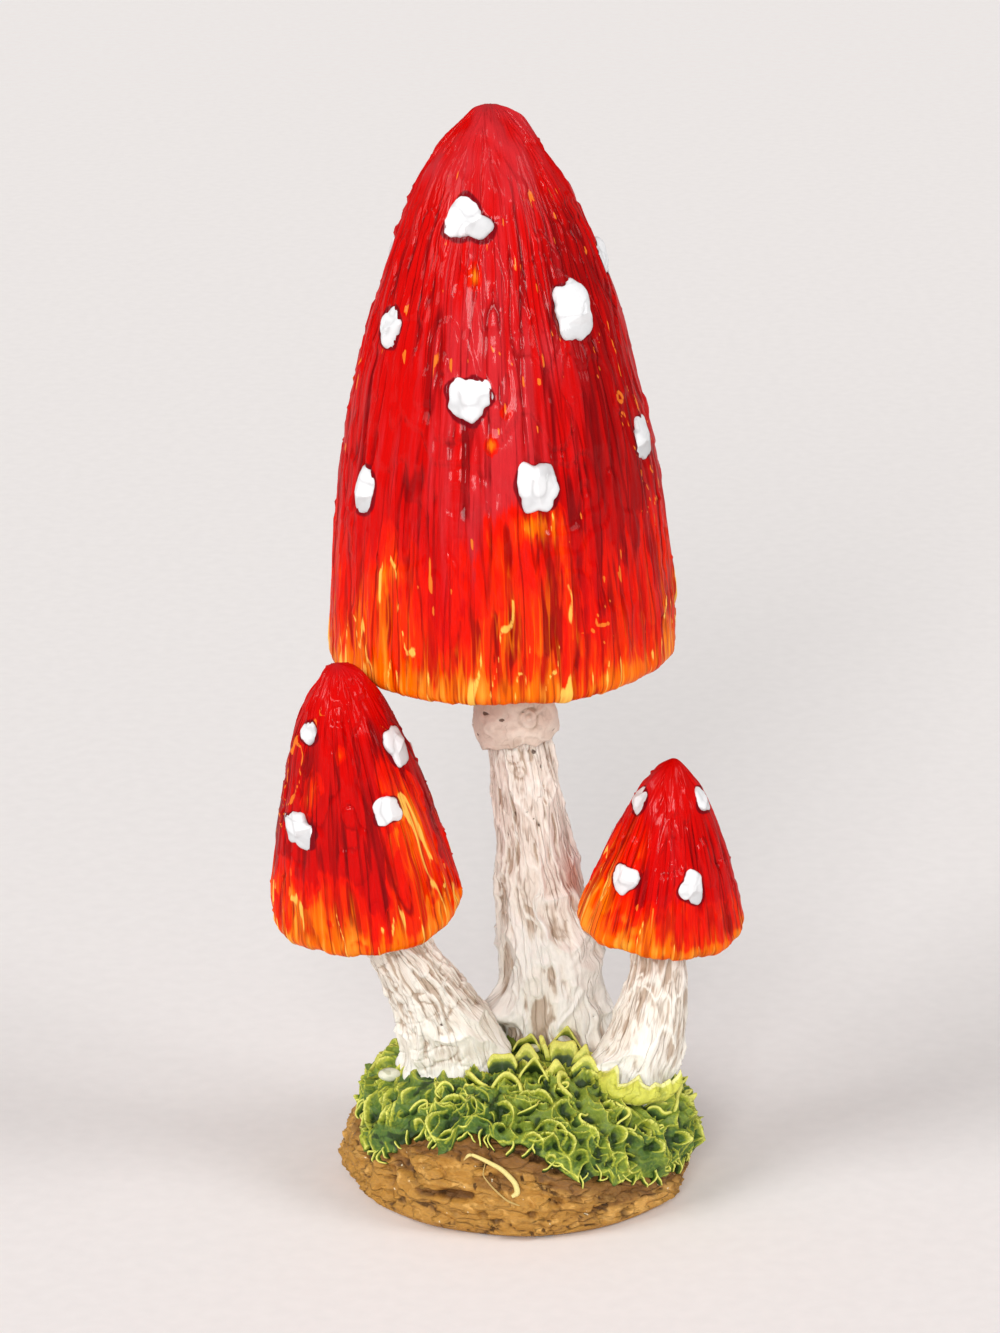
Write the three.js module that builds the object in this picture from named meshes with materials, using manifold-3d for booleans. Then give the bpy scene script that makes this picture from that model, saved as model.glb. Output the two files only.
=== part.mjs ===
// Miniature toadstool ornament in cast and hand-painted resin: three cone-capped toadstools that
// stand in a clod of earth under a blanket of curly moss. Millimetres, +Z up. The origin is the middle
// of the flat underside and the front faces -Y. A turn is an angle about an upright axis in degrees,
// 0 at the front and positive towards +X.
import * as THREE from "three";
import { mergeVertices } from "three/addons/utils/BufferGeometryUtils.js";
import Module from "manifold-3d";

const wasm = await Module();
wasm.setup();

// Clearances
const glueGap = 0.3; // round a stem in its socket, and between two pieces that lie on each other
const capClearance = 0.6; // between the left cap's tip and the tall cap's rim
const stemClearance = 0.8; // between the right cap's rim and the tall stem

// The clod of earth: a domed stone-like slab, widest a little above the table
const earth = {
  radius: 15.8,
  underside: 14.1, // radius of the flat ring that it stands on
  widest: 1.8, // height of its widest line
  crown: 11.1, // height of the dome's top
  squareness: 3, // exponent of the dome's section, 2 is an ellipse
  crag: 0.45, // depth of the broken edges
  toeOut: 0.7, // where the underside rolls up into the flank: shares of the way out and of the way up
  toeUp: 0.4,
  steps: 40,
  rowClimb: 10, // degrees between the rows of the dome
};

// The moss: a lumpy blanket on the earth, with the height of its hem every 20 degrees from the back
const moss = {
  thickness: 0.8,
  hemShare: 0.4, // of the thickness that is left at the hem
  lump: 0.3,
  hem: [6.2, 5.3, 4.9, 5.7, 6.7, 6.5, 5.3, 7.6, 8.3, 7.6, 5.6, 3.9, 3.6, 3.7, 4.1, 4.6, 5.2, 5.9],
  curls: 31, // sown; those that would touch a foot are left out
  curlRadius: 0.95, // of the small curls near the hem
  crownCurlRadius: 1.4, // of the large ones near the feet
  curlWire: 0.34,
  curlBend: 225, // degrees of a circle in one curl
  highestCurl: 80, // climb, in degrees
  hemMargin: 14, // degrees of climb between the hem and the lowest curl
};

// One record for each toadstool. The cap's outline is radius * (1 - (1 - down) ^ belly) ^ point, the stem's
// is neck + (foot - neck) * (1 - up) ^ flare. The stem leaves the moss at its lean and ends on the cap's
// axis, and its two pulls say over which share of its length it turns from one into the other.
const tall = {
  foot: [3.6, 4.8],
  seat: [-1.36, 2, 49.5], // middle of the cap's rim plane
  leanRight: -1.6,
  leanFront: 0,
  cap: {
    height: 50.4,
    radius: 15.6,
    belly: 1.7,
    point: 0.594,
    lip: 1.3,
    dish: 2.4,
    socket: 5,
    flutes: 34,
    fluteDepth: 0.4,
    gillDepth: 0.7,
    rimWave: 0.3,
    rows: 12,
  },
  stem: {
    foot: 5.1,
    neck: 2.5,
    flare: 1.45,
    root: 4,
    ridges: 7,
    ridgeDepth: 0.2,
    leanRight: -5,
    leanFront: 3,
    footPull: 0.35,
    neckPull: 0.08,
  },
};
const left = {
  footTurn: -62, // from the tall stem's foot
  footClearance: 1.2,
  tipTurn: -50.2, // from the middle of the tall cap
  seatHeight: 27.6,
  leanRight: -5.9,
  leanFront: 10,
  cap: {
    height: 25.5,
    radius: 8.45,
    belly: 1.22,
    point: 0.545,
    lip: 1.4,
    dish: 1.6,
    socket: 3.4,
    flutes: 24,
    fluteDepth: 0.3,
    gillDepth: 0.45,
    rimWave: 0.25,
    rows: 10,
  },
  stem: {
    foot: 4.7,
    neck: 2.2,
    flare: 1.35,
    root: 3.8,
    ridges: 6,
    ridgeDepth: 0.18,
    leanRight: -10,
    leanFront: 14,
    footPull: 0.4,
    neckPull: 0.12,
  },
};
const right = {
  footTurn: 42,
  footClearance: 0.6,
  seatTurn: 61, // from the tall stem
  seatHeight: 25.2,
  leanRight: 3.7,
  leanFront: 8,
  cap: {
    height: 16.9,
    radius: 7.6,
    belly: 1.05,
    point: 0.65,
    lip: 1.1,
    dish: 1.3,
    socket: 2.8,
    flutes: 22,
    fluteDepth: 0.26,
    gillDepth: 0.4,
    rimWave: 0.2,
    rows: 9,
  },
  stem: {
    foot: 4.1,
    neck: 2,
    flare: 1.15,
    root: 3.6,
    ridges: 6,
    ridgeDepth: 0.16,
    leanRight: 24,
    leanFront: 2,
    footPull: 0.5,
    neckPull: 0.1,
  },
};

// The tall stem's skirt, a drooping collar that hangs out of the cap, and the web of skin between the
// tall stem's foot and the left stem
const skirt = { drop: 1.5, height: 8.4, wall: 0.38, bulge: 0.12, lip: 0.2, droop: 0.3, steps: 20 };
const web = { height: 4.2, spread: 1.6, width: 24 };

// What all stems share: the sides and rows of a stem, the root's radius as a share of the foot's, and the
// stretch of the stem, in shares of its length, over which its ridges fade
const bark = { sides: 20, rows: 12, rootTaper: 0.8, fadeFrom: 0.5, fadeTo: 0.7 };

// Where each uneven surface starts its run of lumps
const seeds = { crag: 0.4, moss: 2.2, skirt: 5 };

// The white warts: turn, share of the cap's height below its tip, width, height and proudness
const warts = {
  tall: [
    { turn: -16, down: 0.18, wide: 4, high: 3.9, proud: 0.8 },
    { turn: 41, down: 0.342, wide: 4.3, high: 5, proud: 0.9 },
    { turn: -56, down: 0.372, wide: 3.2, high: 3.7, proud: 0.8 },
    { turn: -11, down: 0.477, wide: 3.9, high: 4.2, proud: 0.8 },
    { turn: 70, down: 0.595, wide: 3.8, high: 3.8, proud: 0.8 },
    { turn: -55.5, down: 0.66, wide: 2.9, high: 4.2, proud: 0.8 },
    { turn: 14, down: 0.632, wide: 3.9, high: 4.2, proud: 0.9 },
    { turn: 91, down: 0.283, wide: 3.2, high: 3.4, proud: 0.7 },
    { turn: 132, down: 0.44, wide: 3.6, high: 4.1, proud: 0.8 },
    { turn: -108, down: 0.26, wide: 3.1, high: 3.6, proud: 0.8 },
    { turn: 168, down: 0.26, wide: 3.5, high: 3.5, proud: 0.8 },
    { turn: -116, down: 0.54, wide: 3.8, high: 3.9, proud: 0.8 },
    { turn: 122, down: 0.74, wide: 3.5, high: 4.2, proud: 0.8 },
    { turn: -156, down: 0.45, wide: 3.7, high: 4.4, proud: 0.9 },
    { turn: 172, down: 0.7, wide: 3.8, high: 3.8, proud: 0.8 },
  ],
  left: [
    { turn: -47, down: 0.214, wide: 1.9, high: 2, proud: 0.5 },
    { turn: 67, down: 0.315, wide: 3, high: 3.6, proud: 0.6 },
    { turn: 31, down: 0.504, wide: 2.7, high: 2.5, proud: 0.55 },
    { turn: -47, down: 0.568, wide: 3.8, high: 3.1, proud: 0.6 },
    { turn: 122, down: 0.46, wide: 2.3, high: 2.6, proud: 0.5 },
    { turn: -134, down: 0.4, wide: 2.4, high: 2.6, proud: 0.55 },
    { turn: 178, down: 0.6, wide: 2.7, high: 2.5, proud: 0.6 },
  ],
  right: [
    { turn: -67, down: 0.241, wide: 2.3, high: 2.4, proud: 0.45 },
    { turn: 74, down: 0.226, wide: 2.2, high: 2.4, proud: 0.5 },
    { turn: -41, down: 0.64, wide: 2.7, high: 2.5, proud: 0.5 },
    { turn: 23, down: 0.646, wide: 2.3, high: 3, proud: 0.5 },
    { turn: 118, down: 0.58, wide: 2.2, high: 2.3, proud: 0.5 },
    { turn: -128, down: 0.6, wide: 2.1, high: 2.3, proud: 0.5 },
    { turn: 172, down: 0.42, wide: 2.1, high: 2.2, proud: 0.5 },
  ],
};
const wartSteps = 10;
const wartRaggedness = 0.12; // share of its radius by which a wart's edge wanders

// Small pieces round the feet: a leafy frill on the front of the right stem's foot, two pebbles, each at a
// turn and a clearance from one stem's foot, and a blade of straw that curls over the bare earth
const footLeaf = { turn: 4, height: 1.1, wide: 7.2, high: 3.4, proud: 0.6 };
const pebbles = [
  { beside: "left", turn: -68, radius: 0.85, clearance: 0.35 },
  { beside: "tall", turn: -21, radius: 0.55, clearance: 0.5 },
];
const straw = {
  wire: 0.26,
  // turn, and depth below the hem of the moss
  path: [
    [-19, 1.2],
    [-12, 1.1],
    [-5, 1.4],
    [-1, 2.4],
    [-2.5, 3.2],
  ],
};

const paints = {
  red: new THREE.MeshStandardMaterial({ color: 0xc4161c, roughness: 0.35, metalness: 0 }),
  white: new THREE.MeshStandardMaterial({ color: 0xf2f1ee, roughness: 0.5, metalness: 0 }),
  bone: new THREE.MeshStandardMaterial({ color: 0xd8cfc0, roughness: 0.6, metalness: 0 }),
  green: new THREE.MeshStandardMaterial({ color: 0x6f8f2c, roughness: 0.6, metalness: 0 }),
  lime: new THREE.MeshStandardMaterial({ color: 0xb4bf45, roughness: 0.6, metalness: 0 }),
  clay: new THREE.MeshStandardMaterial({ color: 0xa9733c, roughness: 0.7, metalness: 0 }),
  straw: new THREE.MeshStandardMaterial({ color: 0xd9b467, roughness: 0.6, metalness: 0 }),
};

const radians = THREE.MathUtils.degToRad;
const { clamp, lerp, smoothstep } = THREE.MathUtils;
const FULL = 2 * Math.PI;
const UP = new THREE.Vector3(0, 0, 1);

/** A geometry with only positions, shared vertices merged and collapsed triangles dropped. */
function closed(geometry) {
  for (const extra of ["normal", "uv"]) geometry.deleteAttribute(extra);
  const merged = mergeVertices(geometry, 1e-4);
  const kept = [];
  for (let i = 0; i < merged.index.count; i += 3) {
    const [a, b, c] = [0, 1, 2].map((k) => merged.index.getX(i + k));
    if (a !== b && b !== c && c !== a) kept.push(a, b, c);
  }
  merged.setIndex(kept);
  return merged;
}

/** Moves each vertex of a geometry to move(x, y, z, index). */
function moved(geometry, move) {
  const position = geometry.getAttribute("position");
  for (let k = 0; k < position.count; k++) {
    position.setXYZ(k, ...move(position.getX(k), position.getY(k), position.getZ(k), k));
  }
  return geometry;
}

/**
 * An outline of [radius, height, tag] points turned about +Z. carve(radius, height, tag, turn, step) may
 * give each point another radius and height; turn is in radians.
 */
function turned(outline, steps, carve = (radius, height) => [radius, height]) {
  const points = outline.map(([radius, height]) => new THREE.Vector2(radius, height));
  const lathe = moved(new THREE.LatheGeometry(points, steps), (x, y, z, k) => {
    const step = Math.floor(k / outline.length) % steps;
    const turn = (step / steps) * FULL;
    const [radius, height] = carve(...outline[k % outline.length], turn, step);
    return [radius * Math.sin(turn), -radius * Math.cos(turn), height];
  });
  return closed(lathe);
}

function solid(geometry) {
  const mesh = { numProp: 3, vertProperties: geometry.attributes.position.array };
  return new wasm.Manifold(new wasm.Mesh({ ...mesh, triVerts: new Uint32Array(geometry.index.array) }));
}

function geometryOf(manifold) {
  const mesh = manifold.getMesh();
  return new THREE.BufferGeometry()
    .setAttribute("position", new THREE.BufferAttribute(mesh.vertProperties, 3))
    .setIndex(new THREE.BufferAttribute(mesh.triVerts, 1));
}

/** The body without the tiny sealed pockets that are left where two curls cross. */
function withoutPockets(body) {
  return body.decompose().reduce((whole, shell) => (whole.volume() > shell.volume() ? whole : shell));
}

function piece(name, geometry, paint) {
  const mesh = new THREE.Mesh(geometry, paint);
  mesh.name = name;
  return mesh;
}

function numbered(name, index) {
  return `${name}_${String(index + 1).padStart(2, "0")}`;
}

/** Slow lumps that run smoothly round an axis, between about -1 and 1. */
function lumps(turn, along, seed) {
  return (
    0.5 * Math.sin(3 * turn + 1.7 * along + seed) +
    0.3 * Math.sin(7 * turn - 2.3 * along + 2 * seed) +
    0.2 * Math.sin(12 * turn + 4.1 * along + 3 * seed)
  );
}

/** A point at a turn in radians, a radius and a height. */
function around(turn, radius, height) {
  return new THREE.Vector3(radius * Math.sin(turn), -radius * Math.cos(turn), height);
}

function turnOf(point) {
  return Math.atan2(point.x, -point.y);
}

// Caps, each in its own frame: the middle of the rim plane is the origin and the tip is up +Z

/** Radius of a cap's ribs at a share of the way down from its tip. */
function capRadius(cap, down) {
  return cap.radius * Math.pow(1 - Math.pow(1 - clamp(down, 0, 1), cap.belly), cap.point);
}

function capHeightAt(cap, down) {
  return lerp(cap.height, cap.lip, down);
}

/** The outside from the socket's roof, out under the gills, round the lip and up to the tip. */
function capOutline(cap, neck) {
  const socketRadius = neck + glueGap;
  const roof = cap.dish + cap.socket;
  const inner = cap.radius - cap.lip;
  const outline = [
    [0, roof, "socket"],
    [socketRadius, roof, "socket"],
    [socketRadius, cap.dish, "socket"],
  ];
  for (const share of [0.3, 0.65, 1]) {
    const height = cap.dish * Math.cos((share * Math.PI) / 2);
    outline.push([lerp(socketRadius, inner, share), height, share < 1 ? "gill" : "rim"]);
  }
  for (const angle of [45, 90]) {
    const a = radians(angle);
    outline.push([inner + cap.lip * Math.sin(a), cap.lip * (1 - Math.cos(a)), "rim"]);
  }
  for (let row = cap.rows - 1; row >= 0; row--) {
    const down = Math.pow(row / cap.rows, 1.5);
    outline.push([capRadius(cap, down), capHeightAt(cap, down), "flank"]);
  }
  return outline;
}

/** Ribs stand at the even steps and grooves lie at the odd ones, on the flanks and under the gills. */
function capGeometry(cap, neck, seed) {
  return turned(capOutline(cap, neck), 2 * cap.flutes, (radius, height, tag, turn, step) => {
    if (tag === "socket") return [radius, height];
    const groove = step % 2;
    if (tag === "gill") return [radius, height + (groove ? cap.gillDepth : 0)];
    const down = 1 - (height - cap.lip) / (cap.height - cap.lip);
    const depth = cap.fluteDepth * smoothstep(down, 0.05, 0.6);
    const uneven = 0.5 + 0.5 * lumps(turn, 0, seed);
    const wave = cap.rimWave * lumps(turn, 0, seed + 1) * smoothstep(down, 0.8, 1);
    return [radius - depth * (groove ? 1 : 0.4 * uneven), height + wave];
  });
}

/** A lumpy disc laid on a surface, where lay(across, up, out) gives the point in millimetres. */
function dab(size, seed, lay) {
  const outline = [
    [0, 0],
    [1, 0],
    [0.95, 0.55],
    [0.6, 1],
    [0, 1.05],
  ];
  const disc = turned(outline, wartSteps, (radius, height, tag, turn) => [
    radius * (1 - wartRaggedness + wartRaggedness * lumps(turn, 0, seed)),
    height,
  ]);
  return moved(disc, (x, y, z) => lay((x * size.wide) / 2, (y * size.high) / 2, glueGap + z * size.proud));
}

/** Lays a dab on a cap's ribs; the meridian's slope turns its height and its proudness. */
function wartGeometry(cap, wart, seed) {
  const step = 0.01;
  const rise = capHeightAt(cap, wart.down) - capHeightAt(cap, wart.down + step);
  const run = capRadius(cap, wart.down + step) - capRadius(cap, wart.down);
  const slope = Math.atan2(run, rise);
  return dab(wart, seed, (across, up, out) => {
    const height = capHeightAt(cap, wart.down) + up * Math.cos(slope);
    const down = 1 - (height - cap.lip) / (cap.height - cap.lip);
    const rib = capRadius(cap, down);
    const turn = radians(wart.turn) + across / rib;
    return around(turn, rib + out * Math.cos(slope), height + out * Math.sin(slope)).toArray();
  });
}

/** A direction that leans from straight up, in degrees to the right and to the front. */
function leaning({ leanRight, leanFront }) {
  return new THREE.Vector3(Math.tan(radians(leanRight)), -Math.tan(radians(leanFront)), 1).normalize();
}

function capGroup(name, toadstool, seat) {
  const group = new THREE.Group();
  group.position.copy(seat);
  group.quaternion.setFromUnitVectors(UP, leaning(toadstool));
  const { cap, stem } = toadstool;
  group.add(piece(`${name}_cap`, capGeometry(cap, stem.neck, cap.radius), paints.red));
  warts[name].forEach((wart, i) => {
    group.add(piece(numbered(`${name}_cap_wart`, i), wartGeometry(cap, wart, cap.radius + i), paints.white));
  });
  return group;
}

// The mound that earth and moss share

/** The dome grown by a distance: climb is 0 degrees at its widest line and 90 at its top. */
function domePoint(climb, turn, grown) {
  const across = Math.cos(radians(climb));
  const broken = earth.crag * lumps(turn, radians(climb) * 2, seeds.crag) * across;
  const radius = (earth.radius + broken + grown) * Math.pow(across, 2 / earth.squareness);
  return [radius, earth.widest + (earth.crown - earth.widest + grown) * Math.sin(radians(climb))];
}

/** The climb of a height on the bare dome, kept off its very top. */
function climbAt(height) {
  const share = (height - earth.widest) / (earth.crown - earth.widest);
  return THREE.MathUtils.radToDeg(Math.asin(clamp(share, 0, 0.95)));
}

function earthSolid() {
  const outline = [
    [0, 0, "table"],
    [earth.underside, 0, "table"],
    [lerp(earth.underside, earth.radius, earth.toeOut), earth.widest * earth.toeUp, "toe"],
  ];
  for (let climb = 0; climb < 90; climb += earth.rowClimb) outline.push([climb, climb, "dome"]);
  outline.push([0, earth.crown, "top"]);
  return solid(
    turned(outline, earth.steps, (radius, height, tag, turn) => {
      if (tag === "dome") return domePoint(height, turn, 0);
      if (tag === "toe") return [radius + earth.crag * lumps(turn, 0, seeds.crag), height];
      return [radius, height];
    }),
  );
}

/** The height at which the moss ends, eased between the hem's own heights. */
function hemHeight(turn) {
  const place = ((((turn / FULL + 0.5) % 1) + 1) % 1) * moss.hem.length;
  const before = moss.hem[Math.floor(place) % moss.hem.length];
  const after = moss.hem[(Math.floor(place) + 1) % moss.hem.length];
  return lerp(before, after, smoothstep(place % 1, 0, 1));
}

function mossClimb(share, turn) {
  return lerp(climbAt(hemHeight(turn)), 90, share);
}

/** How far the moss's upper side stands off the earth; it thins towards the hem. */
function mossHeight(share, turn) {
  const fade = lerp(moss.hemShare, 1, smoothstep(share, 0, 0.2));
  const soft = share < 1 ? moss.lump * lumps(turn, 9 * share, seeds.moss) : 0;
  return glueGap + (moss.thickness + soft) * fade;
}

/** A point on the moss's upper side. */
function onMoss(turn, climb) {
  const hem = climbAt(hemHeight(turn));
  return around(turn, ...domePoint(climb, turn, mossHeight((climb - hem) / (90 - hem), turn)));
}

const mossRows = [0, 0.06, 0.15, 0.27, 0.4, 0.54, 0.68, 0.82, 0.92];
const mossUnderRows = [0, 0.15, 0.35, 0.6, 0.84];

/** The blanket's under side keeps the gap to the earth. */
function mossBlanket() {
  const outline = [[0, 0, "under top"]];
  for (const share of [...mossUnderRows].reverse()) outline.push([share, 1, "under"]);
  for (const share of mossRows) outline.push([share, 2, "over"]);
  outline.push([0, 3, "over top"]);
  return solid(
    turned(outline, earth.steps, (share, order, tag, turn) => {
      if (tag === "under top") return [0, earth.crown + glueGap];
      if (tag === "over top") return [0, earth.crown + mossHeight(1, turn)];
      return domePoint(mossClimb(share, turn), turn, tag === "over" ? mossHeight(share, turn) : glueGap);
    }),
  );
}

/** All that lies below the moss's upper side, with the gap that a piece on it keeps. */
function mossGround() {
  const outline = [[0, 0, "floor"]];
  for (const share of mossRows) outline.push([share, 1, "over"]);
  outline.push([0, 2, "top"]);
  return solid(
    turned(outline, earth.steps, (share, order, tag, turn) => {
      if (tag === "floor") return [0, 0];
      if (tag === "top") return [0, earth.crown + mossHeight(1, turn) + glueGap];
      return domePoint(mossClimb(share, turn), turn, mossHeight(share, turn) + glueGap);
    }),
  );
}

/** A round wire along points, with a square section on the small curls. */
function wireSolid(points, radius, steps, curveSegments) {
  const section = new THREE.Shape();
  section.absellipse(0, 0, radius, radius, 0, FULL);
  const extrudePath = new THREE.CatmullRomCurve3(points);
  return solid(closed(new THREE.ExtrudeGeometry(section, { steps, curveSegments, extrudePath })));
}

/** One curled leaf edge: a wire bent into an open C on the moss, half sunk into it. */
function mossCurl(turn, climb, heading) {
  const size = lerp(moss.curlRadius, moss.crownCurlRadius, smoothstep(climb, 35, moss.highestCurl));
  const radius = size * lerp(0.75, 1.1, Math.abs(Math.sin(5 * turn + climb)));
  const [plan] = domePoint(climb, turn, moss.thickness);
  const points = [];
  for (let bend = 0; bend <= moss.curlBend; bend += moss.curlBend / 5) {
    const angle = radians(bend) + heading;
    const sideways = (radius * Math.cos(angle)) / Math.max(plan, radius);
    const upwards = THREE.MathUtils.radToDeg((radius * Math.sin(angle)) / earth.crown);
    points.push(onMoss(turn + sideways, Math.min(climb + upwards, 86)));
  }
  return wireSolid(points, moss.curlWire, 5, 2);
}

// Stems: turned upright, then bent along a spine from the foot to the cap's socket

function stemRadius(stem, share) {
  return stem.neck + (stem.foot - stem.neck) * Math.pow(1 - clamp(share, 0, 1), stem.flare);
}

/** A smooth spine: it leaves the moss at the stem's lean and runs into the cap along the cap's axis. */
function spineOf(toadstool, foot, seat) {
  const { stem, cap } = toadstool;
  const mouth = seat.clone().addScaledVector(leaning(toadstool), cap.dish);
  const length = foot.distanceTo(mouth);
  return new THREE.CubicBezierCurve3(
    foot,
    foot.clone().addScaledVector(leaning(stem), length * stem.footPull),
    mouth.clone().addScaledVector(leaning(toadstool), -length * stem.neckPull),
    mouth,
  );
}

/** Moves upright points so that +Z follows the spine; it runs on straight past both ends. */
function bent(geometry, spine) {
  const length = spine.getLength();
  return moved(geometry, (x, y, z) => {
    const share = clamp(z / length, 0, 1);
    const tangent = spine.getTangentAt(share);
    const side = new THREE.Vector3(1, 0, 0).addScaledVector(tangent, -tangent.x).normalize();
    const depth = tangent.clone().cross(side);
    const point = spine.getPointAt(share).addScaledVector(tangent, z - share * length);
    return point.addScaledVector(side, x).addScaledVector(depth, y).toArray();
  });
}

/** The web's turn about the tall stem and its reach, which ends a gap short of the left stem. */
function webBetween(tallSpine, leftSpine) {
  const here = tallSpine.getPointAt(web.height / tallSpine.getLength());
  const samples = 40;
  const beside = leftSpine.getSpacedPoints(samples);
  const gaps = beside.map((point) => point.distanceTo(here));
  const gap = Math.min(...gaps);
  const nearest = gaps.indexOf(gap);
  const tallRadius = stemRadius(tall.stem, web.height / tallSpine.getLength()) + tall.stem.ridgeDepth;
  const leftRadius = stemRadius(left.stem, nearest / samples) + left.stem.ridgeDepth;
  return {
    turn: turnOf(beside[nearest].sub(here)),
    reach: Math.max(gap - tallRadius - leftRadius - glueGap, 0),
  };
}

/** How far the web carries the tall stem out, at a turn and a height above its foot. */
function webReach(skin, turn, height) {
  const away = Math.atan2(Math.sin(turn - skin.turn), Math.cos(turn - skin.turn));
  const across = Math.exp(-Math.pow(away / radians(web.width), 2));
  return skin.reach * across * Math.exp(-Math.pow((height - web.height) / web.spread, 2));
}

function stemGeometry({ toadstool, spine, skin }, grown = 0) {
  const { stem, cap } = toadstool;
  const length = spine.getLength();
  const top = length + cap.socket - glueGap;
  const outline = [
    [0, -stem.root - grown, "root"],
    [stem.foot * bark.rootTaper, -stem.root - grown, "root"],
  ];
  for (let row = 0; row <= bark.rows; row++) {
    const share = Math.pow(row / bark.rows, 1.5);
    outline.push([stemRadius(stem, share), share * length, "bark"]);
  }
  outline.push([stem.neck, top, "spigot"], [0, top, "end"]);
  const upright = turned(outline, bark.sides, (radius, height, tag, turn) => {
    if (radius === 0) return [radius, height];
    if (tag !== "bark") return [radius + grown, height];
    const share = height / length;
    const fade = 1 - smoothstep(share, bark.fadeFrom, bark.fadeTo);
    const ridge = stem.ridgeDepth * Math.sin(stem.ridges * turn + 4 * share) * fade;
    return [radius + ridge + (skin ? webReach(skin, turn, height) : 0) + grown, height];
  });
  return bent(upright, spine);
}

/** The collar keeps its gap to the stem all the way down, and its hem droops unevenly. */
function skirtGeometry(spine) {
  const length = spine.getLength();
  const top = length - skirt.drop;
  const bottom = top - skirt.height;
  const at = (share, out) => {
    const height = lerp(bottom, top, share);
    return [stemRadius(tall.stem, height / length) + glueGap + out, height];
  };
  const outline = [
    [...at(0, 0), "hem"],
    [...at(-0.04, skirt.lip), "hem"],
    [...at(0.05, skirt.wall + skirt.bulge), "hem"],
    [...at(0.16, skirt.wall + skirt.bulge), "hem"],
    [...at(0.32, skirt.wall), "side"],
    [...at(1, skirt.wall), "side"],
    [...at(1, 0), "side"],
    [...at(0.5, 0), "side"],
    [...at(0, 0), "hem"],
  ];
  const collar = turned(outline, skirt.steps, (radius, height, tag, turn) => [
    radius,
    height - (tag === "hem" ? skirt.droop * lumps(turn, 0, seeds.skirt) : 0),
  ]);
  return bent(collar, spine);
}

// Where each toadstool stands

/** A foot on the moss at a place in plan. */
function footAt(plan) {
  const share = Math.min(Math.hypot(plan.x, plan.y) / earth.radius, 0.98);
  const climb = Math.acos(Math.pow(share, earth.squareness / 2));
  const crown = earth.crown + glueGap + moss.thickness;
  return plan.clone().setZ(earth.widest + (crown - earth.widest) * Math.sin(climb));
}

/** The plan place of a foot that stands clear of the tall stem's. */
function besideTallFoot(toadstool) {
  const reach = tall.stem.foot + toadstool.stem.foot + toadstool.footClearance;
  return tallFoot.clone().add(around(radians(toadstool.footTurn), reach, 0));
}

/** The left cap's tip stands clear in front of the tall cap's rim, whatever their sizes. */
function leftSeat() {
  const { cap } = left;
  const axis = leaning(left);
  const tipHeight = left.seatHeight + axis.z * cap.height;
  const passed = Math.max(tipHeight - tallSeat.z, 0);
  const reach = tall.cap.radius + capRadius(cap, passed / cap.height) + capClearance;
  const tip = tallSeat.clone().add(around(radians(left.tipTurn), reach, 0));
  return tip.setZ(tipHeight).addScaledVector(axis, -cap.height);
}

/** The right cap's rim stands clear of the tall stem at its own height. */
function rightSeat() {
  const share = clamp((right.seatHeight - tallFoot.z) / (tallSeat.z - tallFoot.z), 0, 1);
  const beside = tallSpine.getPointAt(share);
  const reach = stemRadius(tall.stem, share) + right.cap.radius + stemClearance;
  return beside.add(around(radians(right.seatTurn), reach, 0)).setZ(right.seatHeight);
}

const tallFoot = footAt(new THREE.Vector3(...tall.foot, 0));
const tallSeat = new THREE.Vector3(...tall.seat);
const tallSpine = spineOf(tall, tallFoot, tallSeat);

function placed(toadstool, seat) {
  return { toadstool, seat, spine: spineOf(toadstool, footAt(besideTallFoot(toadstool)), seat) };
}

const toadstools = {
  tall: { toadstool: tall, seat: tallSeat, spine: tallSpine },
  left: placed(left, leftSeat()),
  right: placed(right, rightSeat()),
};
toadstools.tall.skin = webBetween(tallSpine, toadstools.left.spine);

// The small pieces

/** A frill laid round the front of the right stem's foot, cut off where it meets the moss. */
function footLeafGeometry() {
  const { stem } = right;
  const frill = dab(footLeaf, stem.foot, (across, up, out) => {
    const radius = stem.foot + stem.ridgeDepth + out;
    return around(radians(footLeaf.turn) + across / radius, radius, footLeaf.height + up).toArray();
  });
  return geometryOf(solid(bent(frill, toadstools.right.spine)).subtract(mossGround()));
}

/** A pebble that lies on the moss beside a foot, half sunk and cut to the moss below. */
function pebbleGeometry({ beside, turn, radius, clearance }) {
  const { toadstool, spine } = toadstools[beside];
  const reach = toadstool.stem.foot + toadstool.stem.ridgeDepth + radius + clearance;
  const centre = footAt(spine.getPoint(0).add(around(radians(turn), reach, 0)));
  const stone = closed(new THREE.SphereGeometry(radius, 9, 6));
  stone.translate(centre.x, centre.y, centre.z + radius / 2);
  return geometryOf(solid(stone).subtract(mossGround()));
}

function strawGeometry() {
  const points = straw.path.map(([degrees, below]) => {
    const turn = radians(degrees);
    const [radius, height] = domePoint(climbAt(hemHeight(turn) - below), turn, glueGap + straw.wire);
    return around(turn, radius, height);
  });
  return geometryOf(wireSolid(points, straw.wire, 16, 3));
}

// Assembly

const ornament = new THREE.Group();
const sockets = Object.values(toadstools).map((one) => solid(stemGeometry(one, glueGap)));

function withSockets(body) {
  return sockets.reduce((cut, socket) => cut.subtract(socket), body);
}

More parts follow.
